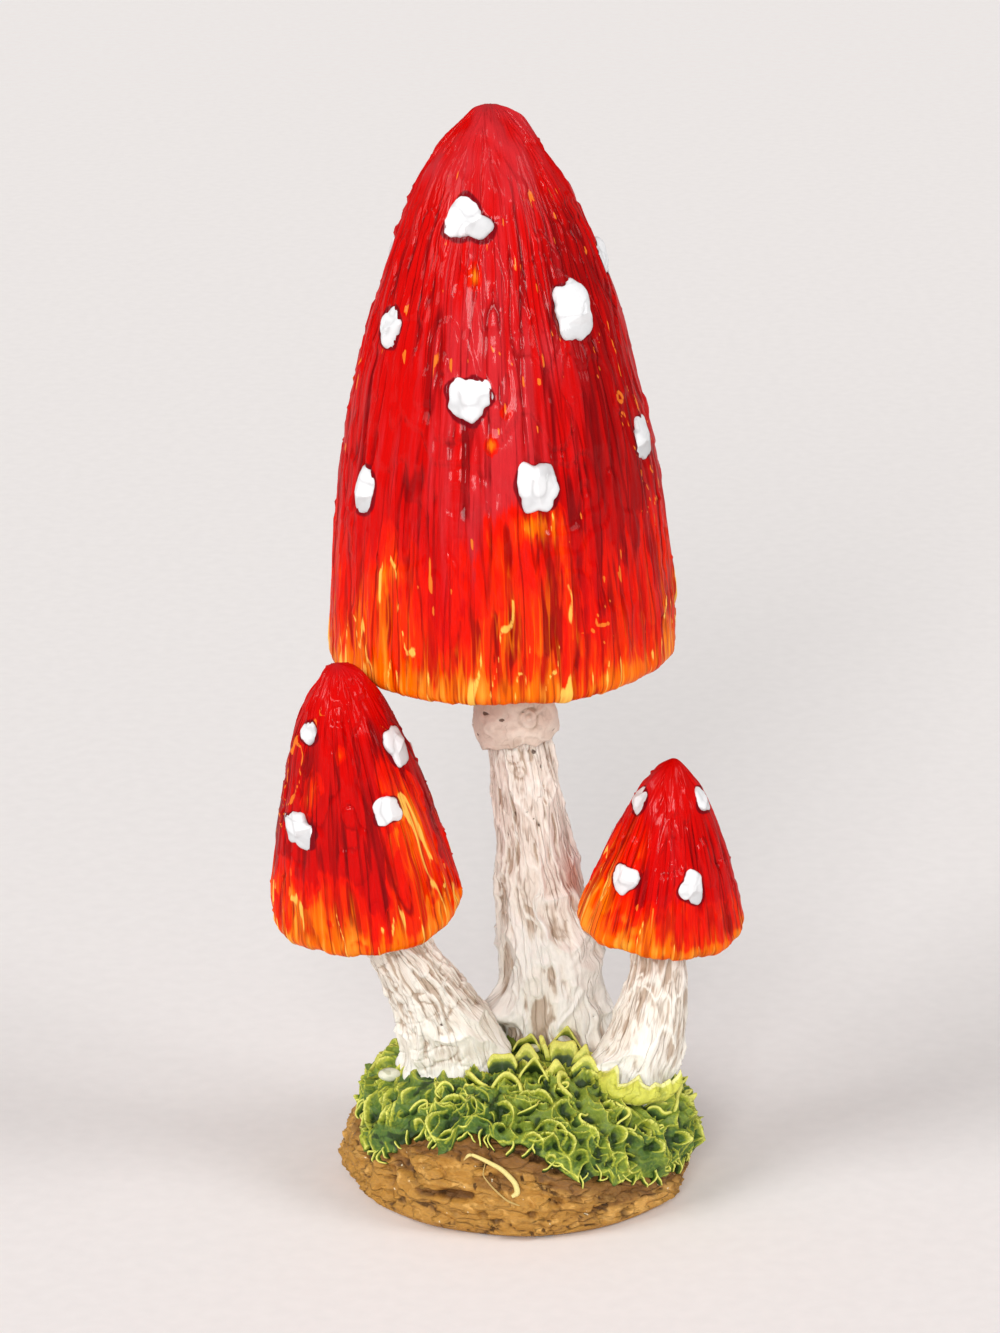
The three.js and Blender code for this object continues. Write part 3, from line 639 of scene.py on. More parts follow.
@dataclass(frozen=True)
class Cap:
    """A cone-shaped cap in its own frame: the middle of its rim plane is the origin and its tip is up +Z."""

    height: float  # from the rim plane to the tip
    radius: float  # of the ribs at the rim
    belly: float  # exponent of the outline's bulge
    point: float  # exponent of the tip's roundness
    lip: float  # radius of the rim's roll
    dish: float  # depth of the gills at the stem
    socket: float  # depth of the stem's socket above the gills
    neck: float  # radius of the socket
    gills: int
    gill_depth: float
    rim_wave: float  # height of the rim's waves
    onset: float  # share of the way down at which the orange begins
    patches: tuple[Patch, ...]  # where the paint departs from that
    seed: int
    columns: int
    rows: int  # down the flank
    undulation: float = 0.3  # height of the slow lumps of the surface
    rosy: float = 1.0  # how much of the dusty rose shows: rose dry-brushing and painted sheen
    dusk: tuple[float, float] = (0.15, 0.6)  # dark red over all of it, and painted shade over its right side
    flaky: float = 0.15  # how much the orange breaks into flakes

    def rib(self, down: Array) -> Array:
        """Radius at a share of the way down: radius * (1 - (1 - down) ^ belly) ^ point."""
        return self.radius * np.power(1 - np.power(1 - np.clip(down, 0, 1), self.belly), self.point)

    def level(self, down: Array) -> Array:
        """Height at a share of the way down, from the tip to the top of the lip."""
        return self.height + (self.lip - self.height) * down

    def profile(self) -> tuple[Array, Array, Array, Array, Array]:
        """The meridian from the tip down the flank, round the lip, in under the gills and up the socket.

        Returns:
            Radius, height, share of the way down the flank (over 1 on the lip), share of the way in under the
            gills and millimetres from the tip, for each grid row.
        """
        down = np.power(np.linspace(0.0, 1.0, FLANK_SAMPLES), 2.0)
        angle = np.linspace(0.0, math.pi / 2, 9)[1:]
        under = np.linspace(0.0, 1.0, 17)[1:]
        inner, top = self.radius - self.lip, self.dish + self.socket
        lines = self.rib(down), self.level(down), down
        places = even_rows(*lines[:2], self.rows)
        radius, height, flank = (np.interp(places, np.arange(len(down)), line) for line in lines)
        lip = inner + self.lip * np.cos(angle), self.lip * (1 - np.sin(angle))
        gills = inner + (self.neck - inner) * under, self.dish * np.sin(under * math.pi / 2)
        radii = np.concatenate([radius, lip[0], gills[0], [self.neck, 0.0]])
        heights = np.concatenate([height, lip[1], gills[1], [top, top]])
        steps = np.hypot(np.diff(radii, prepend=0.0), np.diff(heights, prepend=self.height))
        flank = np.concatenate([flank, 1 + 0.1 * angle / angle[-1], np.full(len(under) + 2, 1.1)])
        under = np.concatenate([np.zeros(self.rows + len(angle)), under, [1.0, 1.0]])
        return radii, heights, flank, under, np.cumsum(steps)

    def skin(self, warts: tuple[Wart, ...]) -> Skin:
        """The fluted, gilled surface with the masks of its paint.

        The meridian is pushed out along its own normal by the relief of relief(), waved at the rim and
        grooved between the gills.

        Args:
            warts: the dabs on it, which get dark rings round them.

        Returns:
            The surface in the cap's frame.
        """
        radius, height, down, under, along = (a[:, None] for a in self.profile())
        turn = turns(self.columns)
        slope_r, slope_z = np.gradient(radius[:, 0]), np.gradient(height[:, 0])
        length = np.maximum(np.hypot(slope_r, slope_z), 1e-9)
        normal_r, normal_z = (-slope_z / length)[:, None], (slope_r / length)[:, None]
        outside = eased(under, 0.12, 0.0)
        relief, masks = self.relief(turn, np.minimum(down, 1.0), along, radius)
        gill = self.gill_depth * np.power(0.5 + 0.5 * np.cos(self.gills * turn + 2 * down), 0.7)
        gill = gill * eased(under, 0.0, 0.1) * eased(under, 1.0, 0.9)
        out = relief * outside - gill
        out = out * eased(radius, 0.2, 2.2) * (1 - 0.55 * eased(down, 0.96, 1.04) * outside)
        wave = self.rim_wave * lumps(turn, 0, self.radius + 1)
        wave = wave * eased(down, 0.8, 1.0) * eased(under, 1.0, 0.6)
        points = on_axis(radius + out * normal_r, turn, height + out * normal_z + wave)
        brush = on_axis(np.full_like(radius, self.radius), turn, along / 14) * MM
        return Skin(points, {**masks, "ring": self.rings(warts, turn, down), "brush": brush})

    def relief(self, turn: Array, down: Array, along: Array, radius: Array) -> tuple[Array, Masks]:
        """The carved surface and the paint that follows it.

        Ribs, thin carved lines and brush hairs are noises with narrow, long cells whose turns drift together,
        so that the lines wander. Flat plates are the steps of a slow noise; the contours of another are thin
        worm lines. The paint's heat rises from the onset down, shifted by patches, streaks and flakes.

        Args:
            turn: turn of each point.
            down: share of the way down.
            along: millimetres from the tip.
            radius: radius of each row.

        Returns:
            Relief in millimetres and the masks by name.
        """
        girth = FULL * self.radius
        flat = partial(cells, turn, along, girth, self.seed)
        drift = turn + (0.9 * flat(14, 12, 1) + 0.17 * flat(3, 4, 3)) / self.radius
        bent = partial(cells, drift, along, girth, self.seed)
        rib, hair, streak = bent(1.7, 16, 10), bent(0.6, 8, 30), bent(0.7, 13, 100, 3)
        cut = veined(bent(1.5, 14, 20) + 0.5, 9.0) * eased(flat(3, 4, 25), -0.2, 0.1)
        line = veined(bent(1.5, 9, 40) + 0.5, 12.0)
        plate = 6 * flat(6, 9, 50, 3)
        part = plate - np.floor(plate)
        step = np.floor(plate) + eased(part, 0.0, 0.2) - plate
        worm = 5 * flat(4, 4.5, 60)
        worm = veined(worm - np.floor(worm), 14.0) * eased(flat(9, 8, 70), 0.2, 0.3)
        knob = eased(flat(0.55, 0.7, 80, 1), 0.42, 0.48)
        open_ = eased(radius, 0.24 * self.radius, 0.62 * self.radius)
        low = eased(down, 0.5, 1.0)
        x, y = radius * np.sin(turn), radius * np.cos(turn)
        dab, nub = (flat_noise(x, y, size, self.seed + k) - 0.5 for size, k in ((2.4, 95), (0.9, 96)))
        crease = bell(np.abs(turn * radius + 0.5) - 0.3 * (along - 4.5), 0.28)
        crease = crease * eased(along, 4.5, 5.2) * eased(along, 11.0, 8.5)
        relief = self.undulation * 1.6 * flat(12, 9, 90) + 0.24 * step * (1 - 0.75 * low)
        relief = relief + (0.62 * dab + 0.25 * nub) * (1 - open_) - 0.3 * crease
        flutes = (0.2 + 0.4 * low) * rib - (0.2 + 0.12 * low) * cut + (0.2 + 0.14 * low) * hair
        relief = relief + flutes * open_ + 0.16 * knob + (0.1 * worm + 0.16 * line * low) * open_
        heat = 0.95 * np.clip((down - self.onset) / (1.02 - self.onset), 0, 1)
        for patch in self.patches:
            near = patch.gain * about(turn, patch.turn, math.radians(patch.wide))
            heat = heat + near * bell(down - patch.down, patch.high)
        flake = eased(bent(1.6, 3.4, 140, 3), -0.05, 0.05) - 0.5
        ember = heat + (0.7 * streak + 0.25 * rib + self.flaky * flake) * eased(heat, 0.02, 0.25)
        ember = ember + 0.2 * eased(down, 0.95, 1.0)
        fleck = eased(bent(0.42, 2.0, 110, 1), 0.38, 0.45) * eased(flat(7, 7, 120), -0.02, 0.1)
        # The dusty rose is dry-brushing and painted sheen: middle lays painted sheen in three broad patches
        # round the cap, one at the front, and tip lays it on the lumps of the tip.
        middle = np.square(0.5 + 0.5 * np.cos(3 * (turn + 0.05))) * eased(down, 0.95, 0.7)
        hot = eased(ember, 0.12, 0.35) * eased(1.15 - ember, -0.1, 0.4) * (1 - 0.7 * eased(down, 0.92, 1.0))
        # Dark red in the carved lines and the hairs' hollows is wash and painted shade, the dark under each
        # plate's low edge is a painted shadow, and the dark on the right side, from dusk, is painted shade.
        wash_and_shade = (cut + 0.3 * eased(-hair, 0.12, 0.3) + self.dusk[0]) * (0.1 + 0.9 * open_)
        wash_and_shade = wash_and_shade + 0.35 * eased(part, 0.14, 0.0) * (1 - low) * open_
        rose = (1.1 * bent(8, 16, 130, 3) + 0.8 * hair + 0.3 * rib) * open_ * (0.2 + 0.8 * self.rosy)
        tip = (1.2 * dab + 0.5 * nub + 0.7) * (1 - open_) * (0.4 + 0.6 * self.rosy)
        return relief - 0.05, {
            "worn": 1 - open_,
            "ember": ember,
            "crest": (1.1 * line + 0.25 * eased(hair, 0.1, 0.25)) * eased(ember, 0.45, 0.8),
            "furrow": (cut + 0.7 * eased(-hair, 0.08, 0.25)) * hot,
            "wash_and_shade": wash_and_shade + self.dusk[1] * bell(wrapped(turn - 0.95), 0.45) * open_ * (1 + 2 * hair),
            "rose_and_reflection": (0.2 + 0.6 * middle) * self.rosy * open_ + rose + tip,
            "chip": np.maximum(fleck, 1.2 * worm) * eased(radius, 0.2 * self.radius, 0.45 * self.radius),
        }

    def rings(self, warts: tuple[Wart, ...], turn: Array, down: Array) -> Array:
        """Dark outlines of the dabs: a bell of the distance outside each outline.

        Args:
            warts: the dabs.
            turn: turn of each point.
            down: share of the way down.

        Returns:
            The mask, 0 to 1.
        """
        slant = math.hypot(self.height, self.radius)
        ring = np.zeros(np.broadcast_shapes(turn.shape, down.shape))
        for wart in warts:
            across = wrapped(turn - math.radians(wart.turn)) * self.rib(np.array(wart.down))
            x, y = across / (wart.wide / 2), (wart.down - down) * slant / (wart.high / 2)
            away = (np.hypot(x, y) - wart.outline(np.arctan2(y, x))) * min(wart.wide, wart.high) / 2
            ring = np.maximum(ring, bell(np.maximum(away, 0.0), 0.28))
        return ring

    def wart_skin(self, wart: Wart, seed: int) -> Skin:
        """A dab of paint on the flank.

        Its top is a dome, proud * (1 - rho^6)^0.5, roughened and cut by six tilted planes that leave facets,
        and its edge turns under into the cap. The outline is an ellipse with lobes.

        Args:
            wart: its place and size.
            seed: seed of its facets.

        Returns:
            The surface in the cap's frame.
        """
        rho = np.concatenate([np.linspace(0.0, 1.0, 26), [1.0, 0.96, 0.5, 0.0]])[:, None]
        angle = turns(72)
        dice = np.random.default_rng(seed)
        ragged = 0.42 * (cloud(angle, 0 * angle, 9, 1, seed, 3) - 0.5)
        reach = (wart.outline(angle) + ragged) * np.minimum(rho, 1.0)
        x, y = reach * np.cos(angle) * wart.wide / 2, reach * np.sin(angle) * wart.high / 2
        dome = np.power(np.clip(1 - np.power(rho, 6.0), 0, 1), 0.5)
        crease = veined(flat_noise(x + 9, y + 9, 1.3, seed), 5.0)
        rise = wart.proud * (1.0 + 0.5 * flat_noise(x, y, 1.0, seed + 1) - 0.36 * crease)
        shade = 0.0 * rise
        # Each facet that faces away from the key lamp at the front left takes painted shade.
        for _ in range(6):
            lie, tilt = dice.uniform(0, FULL), 0.75 * dice.uniform(0.4, 1.1)
            plane = wart.proud * dice.uniform(0.9, 1.45) - tilt * (x * math.cos(lie) + y * math.sin(lie))
            plane = np.maximum(plane, 0.45 * wart.proud)
            shade = np.where(plane < rise, tilt * (0.45 - 0.45 * math.cos(lie - 2.2)), shade)
            rise = np.minimum(rise, plane)
        rise = 0.88 * rise * dome
        rise[26:] = np.array([-0.1, -0.4, -0.5, -0.5])[:, None]
        here, below = np.array(wart.down), np.array(wart.down + 0.01)
        wider, lower = self.rib(below) - self.rib(here), self.level(here) - self.level(below)
        slope = math.atan2(float(wider), float(lower))
        height = self.level(here) + y * math.cos(slope)
        rib = self.rib((self.height - height) / (self.height - self.lip))
        turn = math.radians(wart.turn) + x / rib
        points = on_axis(rib + rise * math.cos(slope), turn, height + rise * math.sin(slope))
        thin = eased(0.6 * wart.proud - rise, 0.0, 0.5 * wart.proud)
        # Painted shade on the facets and in the creases, and grey where the dab is thin.
        return Skin(points, {"hollow": shade + thin * 0.3 + 0.6 * crease})


@dataclass(frozen=True)
class Web:
    """The skin between the tall stem's foot and the left stem."""

    height: float
    spread: float  # half height
    turn: float
    width: float  # half width in degrees
    reach: float

    def out(self, turn: Array, height: Array) -> Array:
        """How far it carries the stem out: a bell round the stem times a bell up it."""
        out = self.reach * about(turn, self.turn, math.radians(self.width))
        return out * bell(height - self.height, self.spread)


@dataclass(frozen=True)
class Stem:
    """A bent stem, turned upright and then carried along its spine."""

    foot: float  # radius where it leaves the moss
    neck: float  # radius under the cap
    flare: float  # exponent of the taper
    root: float  # depth below the moss
    lean: tuple[float, float]  # degrees that it leans to the right and to the front at its foot
    pull: tuple[float, float]  # shares of its length over which it leaves that lean and takes the cap's
    seed: int
    columns: int
    rows: int
    frill: float  # how far the hem of its foot spreads over the moss
    rose_and_reflection: Point = (0.0, 0.0, 0.0)  # turn, height and strength of a pink tint: painted red light reflected from a cap beside it
    web: Web | None = None  # skin that joins it to its neighbour
    knot: Point = (0.0, 0.0, 0.0)  # turn, height and size of a knot in the bark
    tiled: float = 0.3  # strength of the cracks across it
    dry: float = 0.0  # how much white is dry-brushed over it
    pale: float = 0.35  # how much less of the hollows' wash and painted shade its lower half keeps
    rooty: float = 0.0  # height of the wide veins low on it
    wash_and_shade: float = 0.0  # how much more of the hollows' wash and painted shade it keeps all over
    whorls: tuple[Point, ...] = ()  # turn, distance below the gills and radius of rings in the bark

    def radius(self, share: Array) -> Array:
        """Radius at a share of the way up: neck + (foot - neck) * (1 - up) ^ flare."""
        return self.neck + (self.foot - self.neck) * np.power(1 - np.clip(share, 0, 1), self.flare)


class Spine:
    """A cubic curve from a foot on the moss to the gills of a cap."""

    def __init__(self, stem: Stem, cap: Cap, foot: Array, seat: Array, axis: Array) -> None:
        """Samples the Bezier curve whose inner handles lie along the stem's lean and the cap's axis.

        Args:
            stem: the stem, for its lean and pulls.
            cap: its cap, for the depth of the gills.
            foot: the foot on the moss.
            seat: the middle of the cap's rim plane.
            axis: the cap's axis.
        """
        mouth = seat + axis * cap.dish
        length = float(np.linalg.norm(mouth - foot))
        leave = foot + leaning(*stem.lean) * length * stem.pull[0]
        arrive = mouth - axis * length * stem.pull[1]
        t = np.linspace(0.0, 1.0, SAMPLES)[:, None]
        weights = [(1 - t) ** 3, 3 * t * (1 - t) ** 2, 3 * t**2 * (1 - t), t**3]
        self.points = sum(w * p for w, p in zip(weights, (foot, leave, arrive, mouth)))
        self.tangents = unit(np.gradient(self.points, axis=0))
        self.travel = travelled(np.linalg.norm(np.diff(self.points, axis=0), axis=1))
        self.length = float(self.travel[-1])

    def carry(self, points: Array) -> Array:
        """Bends upright points so that +Z follows the spine; past its ends it runs on straight.

        Args:
            points: the upright points.

        Returns:
            Each at its own x and y beside the spine's point at its height.
        """
        height = points[..., 2]
        along = np.clip(height, 0.0, self.length)
        centre, tangent = (
            np.stack([np.interp(along, self.travel, line[:, k]) for k in range(3)], axis=-1)
            for line in (self.points, self.tangents)
        )
        tangent = unit(tangent)
        side = unit(np.array([1.0, 0.0, 0.0]) - tangent * tangent[..., :1])
        beyond = (height - along)[..., None]
        depth = np.cross(tangent, side)
        return centre + tangent * beyond + side * points[..., :1] + depth * points[..., 1:2]


@dataclass(frozen=True)
class Skirt:
    """The drooping collar round the tall stem."""

    drop: float = 1.5  # below the gills
    height: float = 8.4
    wall: float = 0.38
    bulge: float = 0.24
    lip: float = 0.05
    droop: float = 0.5
    columns: int = 160
    rows: int = 90

    def skin(self, stem: Stem, spine: Spine) -> Skin:
        """A thin collar: out over the bead of its hem, up the outside, over the top and down the inside.

        The hem droops by the part's lumps and by a noise, and swirls and pits mark the outside.

        Args:
            stem: the stem that it hangs round.
            spine: that stem's spine.

        Returns:
            The surface round the stem.
        """
        share = np.concatenate([[0.0], np.linspace(0.0, 1.0, self.rows), [1.0, 1.0]])[:, None]
        turn = turns(self.columns)
        bottom = spine.length - self.drop - self.height
        height = bottom + share * self.height
        swirl = cloud(turn, height, 10, 0.6, 71, 3)
        line = veined(cloud(turn + 0.9 * swirl, height, 8, 0.5, 74, 2), 6.0)
        bead = (self.bulge + 0.1) * bell(share - 0.17, 0.15)
        spot = np.hypot(wrapped(turn - 0.4) * 3.3, height - bottom - 2.5)
        ring = bell(spot - 0.85, 0.15) + 0.8 * bell(spot - 0.3, 0.14)
        out = self.wall + bead + 0.5 * (swirl - 0.5) + 0.16 * line - 0.14 * ring
        out[0], out[1], out[-2:] = -0.6, self.lip, np.array([[0.1], [-0.6]])
        droop = self.droop * lumps(turn, 0, 5) + 0.9 * (noise(turn, height * 0, 7, 1.0, 77) - 0.4)
        height = height - droop * eased(share, 0.35, 0.0)
        radius = stem.radius(height / spine.length) + 0.3 + out
        pits = eased(noise(turn, height, 22, 2.2, 78), 0.86, 0.95) * eased(share, 0.0, 0.1)
        points = spine.carry(on_axis(radius - 0.15 * pits, turn, height))
        points[[0, -1]] = spine.carry(np.array([0.0, 0.0, bottom + self.height / 2]))
        # Painted shade in the swirls' hollows, in the ring and at the bottom of the hem.
        shade = eased(0.5 - swirl, 0.0, 0.25) * 0.6 + eased(share, 0.02, 0.0) * 0.6 + 0.8 * ring
        return Skin(points, {"hollow": shade, "vein": line + eased(swirl, 0.5, 0.8), "pit": pits})


@dataclass(frozen=True)
class Toadstool:
    """A cap with its warts on a bent stem."""

    name: str  # the start of its nodes' names
    foot: Point  # where its stem leaves the moss
    seat: Point  # the middle of its cap's rim plane
    lean: tuple[float, float]  # degrees that the cap's axis leans to the right and to the front
    cap: Cap
    stem: Stem
    warts: tuple[Wart, ...]
    skirt: Skirt | None = None

    def spine(self) -> Spine:
        """The stem's spine."""
        return Spine(self.stem, self.cap, np.array(self.foot), np.array(self.seat), leaning(*self.lean))

    def seated(self, skin: Skin) -> Skin:
        """A surface of the cap's frame, turned to the cap's axis and moved to its seat."""
        turn = Vector((0, 0, 1)).rotation_difference(Vector(leaning(*self.lean))).to_matrix()
        return Skin(skin.points @ np.array(turn).T + np.array(self.seat), skin.paint)

    def stem_skin(self) -> Skin:
        """The veined stem with its root, foot and spigot.

        Veins are the thin lines of drawn-out noises whose turns drift; between them the surface sinks. Slots
        and pits are the tops of fine noises, whorls are rings, and the foot's hem spreads over the moss.

        Returns:
            The surface along the spine.
        """
        stem, spine = self.stem, self.spine()
        seed, length = stem.seed, spine.length
        buried = [[-stem.root], np.linspace(-stem.root, -0.8, 5)]
        spigot = [length + self.cap.socket - 0.3] * 2
        height = np.concatenate([*buried, np.linspace(-0.6, length + 0.4, stem.rows), spigot])[:, None]
        turn = turns(stem.columns)
        share = np.clip(height / length, 0, 1)
        girth = FULL * 0.5 * (stem.foot + stem.neck)
        slow = partial(cloud, turn, height)
        sway = 1.6 * slow(4, 0.12, seed, 2) + 0.9 * slow(9, 0.4, seed + 3, 2)
        drift = turn + sway / stem.foot
        bent = partial(cells, drift, height, girth, seed)
        large, small = veined(bent(2.6, 7, 10) + 0.5, 9.0), veined(bent(1.3, 4, 20) + 0.5, 7.0)
        cross = veined(slow(round(girth / 2.6), 0.9, seed + 25, 2), 13.0)
        cross = cross * eased(bent(3, 3, 27), -0.25, -0.05)
        lobed = slow(7, 0.2, seed + 30, 2) - 0.5
        hair = bent(0.4, 2.2, 40)
        slot = eased(bent(0.5, 2.8, 35), 0.12, 0.22) * (0.45 + 0.55 * eased(share, 0.1, 0.5))
        for whorl, below, size in stem.whorls:
            aside = wrapped(turn - math.radians(whorl)) * stem.neck * 1.15
            spot = np.hypot(aside, height - length + below)
            ring = bell(spot - size, 0.16) + 0.7 * bell(spot, 0.2)
            slot = np.maximum(slot * eased(spot, 0.8 * size, size), ring)
        large = large * (1 + 0.7 * eased(share, 0.5, 0.15))
        rooted = 2.0 * stem.rooty * eased(share, 0.5, 0.25)
        winding = drift + 0.1 * np.sin(height)
        root = veined(cloud(winding, height, round(girth / 3.4), 0.15, seed + 15, 2), 9.0)
        root = np.maximum(root, 0.8 * veined(bent(2.2, 5.0, 17) + 0.5, 9.0)) * eased(share, 0.55, 0.3)
        calm = eased(share, 1.0, 0.9) * eased(height, -0.5, 0.5)
        tile = veined(bent(1.7, 6, 28) + 0.5, 14.0) * stem.tiled * eased(share, 0.05, 0.25)
        relief = 0.28 * large + 0.95 * stem.rooty * root - 0.2 * tile + 0.14 * small + 0.14 * lobed
        relief = relief + 0.14 * hair - 0.2 * slot - 0.2 * cross * stem.tiled - 0.08
        relief = relief * (0.35 + 0.65 * calm)
        pits = eased(noise(drift, height, round(girth / 0.55), 1.3, seed + 50), 0.86, 0.95)
        pits = pits * eased(noise(turn, height, 7, 0.35, seed + 51), 0.6, 0.75) * calm
        hem = stem.frill * bell(height, 0.9) * (0.5 + 0.9 * noise(turn, height * 0, 15, 1.0, seed + 60))
        out = relief - 0.25 * pits + hem
        # The hollows' brown is wash and painted shade; it grows towards the cap, painted shade under it.
        hollow = 0.85 * slot + 0.9 * cross * stem.tiled + 0.9 * tile
        hollow = hollow + 0.35 * eased(-hair, 0.06, 0.26) - 0.3 * np.maximum(large, 0.8 * small)
        hollow = hollow + 0.3 * (slow(9, 0.4, seed + 70) - 0.45) + 0.1 * eased(share, 0.6, 1.0)
        hollow = hollow + stem.wash_and_shade - stem.pale * eased(share, 0.45, 0.1) + rooted * (0.62 - 1.8 * root)
        if web := stem.web:
            out = out + web.out(turn, height)
            # Painted shadow under the web.
            hollow = hollow + 0.8 * (about(turn, web.turn, 0.45) * bell(height - web.height + 2.2, 1.1))
        knot, up, size = stem.knot
        out = out + size * (about(turn, knot, 0.55) * bell(height - up, 1.8))
        radius = stem.radius(share) + out
        radius = np.where(height < -0.8, np.minimum(radius, stem.foot * 0.9), radius)
        radius[[0, -1]] = 0.0
        # A pink tint round a turn and a height: painted red light reflected from the cap beside it.
        pink, up, strength = stem.rose_and_reflection
        white = eased(height, 4.5, 0.5) * (0.5 + 0.8 * (lobed + 0.5)) * (stem.pale > 0)
        dry = stem.dry * eased(bent(1.2, 2.6, 80), -0.04, 0.12) * eased(share, 0.95, 0.7)
        mean = np.full_like(height, 0.5 * (stem.foot + stem.neck))
        return Skin(spine.carry(on_axis(radius, turn, height)), {
            "hollow": hollow,
            "rose_and_reflection": strength * about(turn, pink, 0.5) * bell(height - up, 4.0),
            "vein": np.maximum(large, 0.9 * small) + 0.5 * eased(hair, 0.1, 0.3) + 2.5 * stem.rooty * root,
            "foot": np.maximum(white, dry) + (rooted * (0.2 + 1.4 * root) - 0.6 * slot),
            "pit": pits,
            "brush": on_axis(mean, drift, height / 6) * MM,
        })

    def build(self) -> None:
        """Makes the cap, its warts, the stem and the skirt."""
        cap, stem = f"{self.name}_cap", f"{self.name}_stem"
        add_piece(f"{cap}_painted", self.seated(self.cap.skin(self.warts)), CAP_PAINT, cap)
        for index, wart in enumerate(self.warts, 1):
            node = f"{cap}_wart_{index:02d}"
            skin = self.seated(self.cap.wart_skin(wart, 100 * self.cap.seed + index))
            add_piece(f"{node}_painted", skin, WART_PAINT, node)
        add_piece(f"{stem}_painted", self.stem_skin(), STEM_PAINT, stem)
        if self.skirt:
            skin = self.skirt.skin(self.stem, self.spine())
            add_piece(f"{stem}_skirt_painted", skin, SKIRT_PAINT, f"{stem}_skirt")


TALL = Toadstool(
    name="tall", foot=(3.6, 4.8, 11.911), seat=(-1.36, 2.0, 49.5), lean=(-1.6, 0.0),
    cap=Cap(
        height=50.4, radius=15.6, belly=1.7, point=0.594, lip=1.3, dish=2.4, socket=5.0, neck=2.8,
        gills=34, gill_depth=0.7, rim_wave=0.3, onset=0.66,
        patches=(
            Patch(8, 0.74, 13, 0.13, 0.22), Patch(-44, 0.84, 13, 0.1, 0.25), Patch(-20, 0.86, 11, 0.1, -0.4),
            Patch(40, 0.86, 14, 0.14, -0.22), Patch(13, 0.7, 9, 0.03, 0.8), Patch(-10, 0.27, 3.5, 0.018, 0.9),
            Patch(-2, 0.555, 2.5, 0.014, 1), Patch(3, 0.5, 2.5, 0.012, 0.8), Patch(-38, 0.79, 6, 0.025, 0.4),
            Patch(100, 0.85, 25, 0.1, 0.2), Patch(-120, 0.82, 25, 0.12, 0.25),
            Patch(170, 0.86, 20, 0.12, 0.25),
        ),
        seed=3, columns=500, rows=172,
    ),
    stem=Stem(
        foot=5.1, neck=2.5, flare=1.45, root=4.0, lean=(-5.0, 3.0), pull=(0.35, 0.08),
        seed=31, columns=240, rows=260, frill=0.4, rose_and_reflection=(62.0, 16.0, 0.9),
        web=Web(height=4.0, spread=1.2, turn=-64.0, width=18.0, reach=2.6),
        knot=(80.0, 8.5, 0.55), pale=-0.1, rooty=0.5,
        whorls=((-12.0, 11.1, 0.8), (-4.0, 12.8, 0.55), (14.0, 11.3, 0.5)),
    ),
    warts=(
        Wart(-16, 0.18, 4.0, 3.9, 0.8, ((3, 0.2, 95.0), (2, 0.08, 140.0), (7, 0.04, 0.0))),
        Wart(41, 0.342, 4.3, 5.0, 0.9, ((4, 0.07, 45.0), (2, 0.04, 80.0), (7, 0.04, 20.0))),
        Wart(-56, 0.372, 3.2, 3.7, 0.8, ((3, 0.06, 60.0), (6, 0.04, 10.0))),
        Wart(-11, 0.477, 3.9, 4.2, 0.8, ((3, 0.1, 30.0), (5, 0.06, 0.0), (9, 0.03, 0.0))),
        Wart(70, 0.595, 3.8, 3.8, 0.8, ((3, 0.1, 75.0), (7, 0.06, 0.0))),
        Wart(-55.5, 0.66, 2.9, 4.2, 0.8, ((2, 0.05, 90.0), (5, 0.04, 30.0))),
        Wart(14, 0.632, 3.9, 4.2, 0.9, ((4, 0.07, 50.0), (6, 0.05, 0.0), (2, 0.04, 120.0))),
        Wart(91, 0.283, 3.2, 3.4, 0.7),
        Wart(132, 0.44, 3.6, 4.1, 0.8, ((3, 0.12, 10.0), (7, 0.05, 0.0))),
        Wart(-108, 0.26, 3.1, 3.6, 0.4, ((4, 0.08, 20.0), (5, 0.05, 70.0))),
        Wart(168, 0.26, 3.5, 3.5, 0.8, ((3, 0.15, 50.0), (6, 0.04, 0.0))),
        Wart(-116, 0.54, 3.8, 3.9, 0.8, ((5, 0.08, 10.0), (3, 0.06, 80.0))),
        Wart(122, 0.74, 3.5, 4.2, 0.8),
        Wart(-156, 0.45, 3.7, 4.4, 0.9, ((4, 0.09, 0.0), (7, 0.05, 30.0))),
        Wart(172, 0.7, 3.8, 3.8, 0.8, ((3, 0.09, 100.0), (5, 0.07, 20.0))),
    ),
    skirt=Skirt(),
)

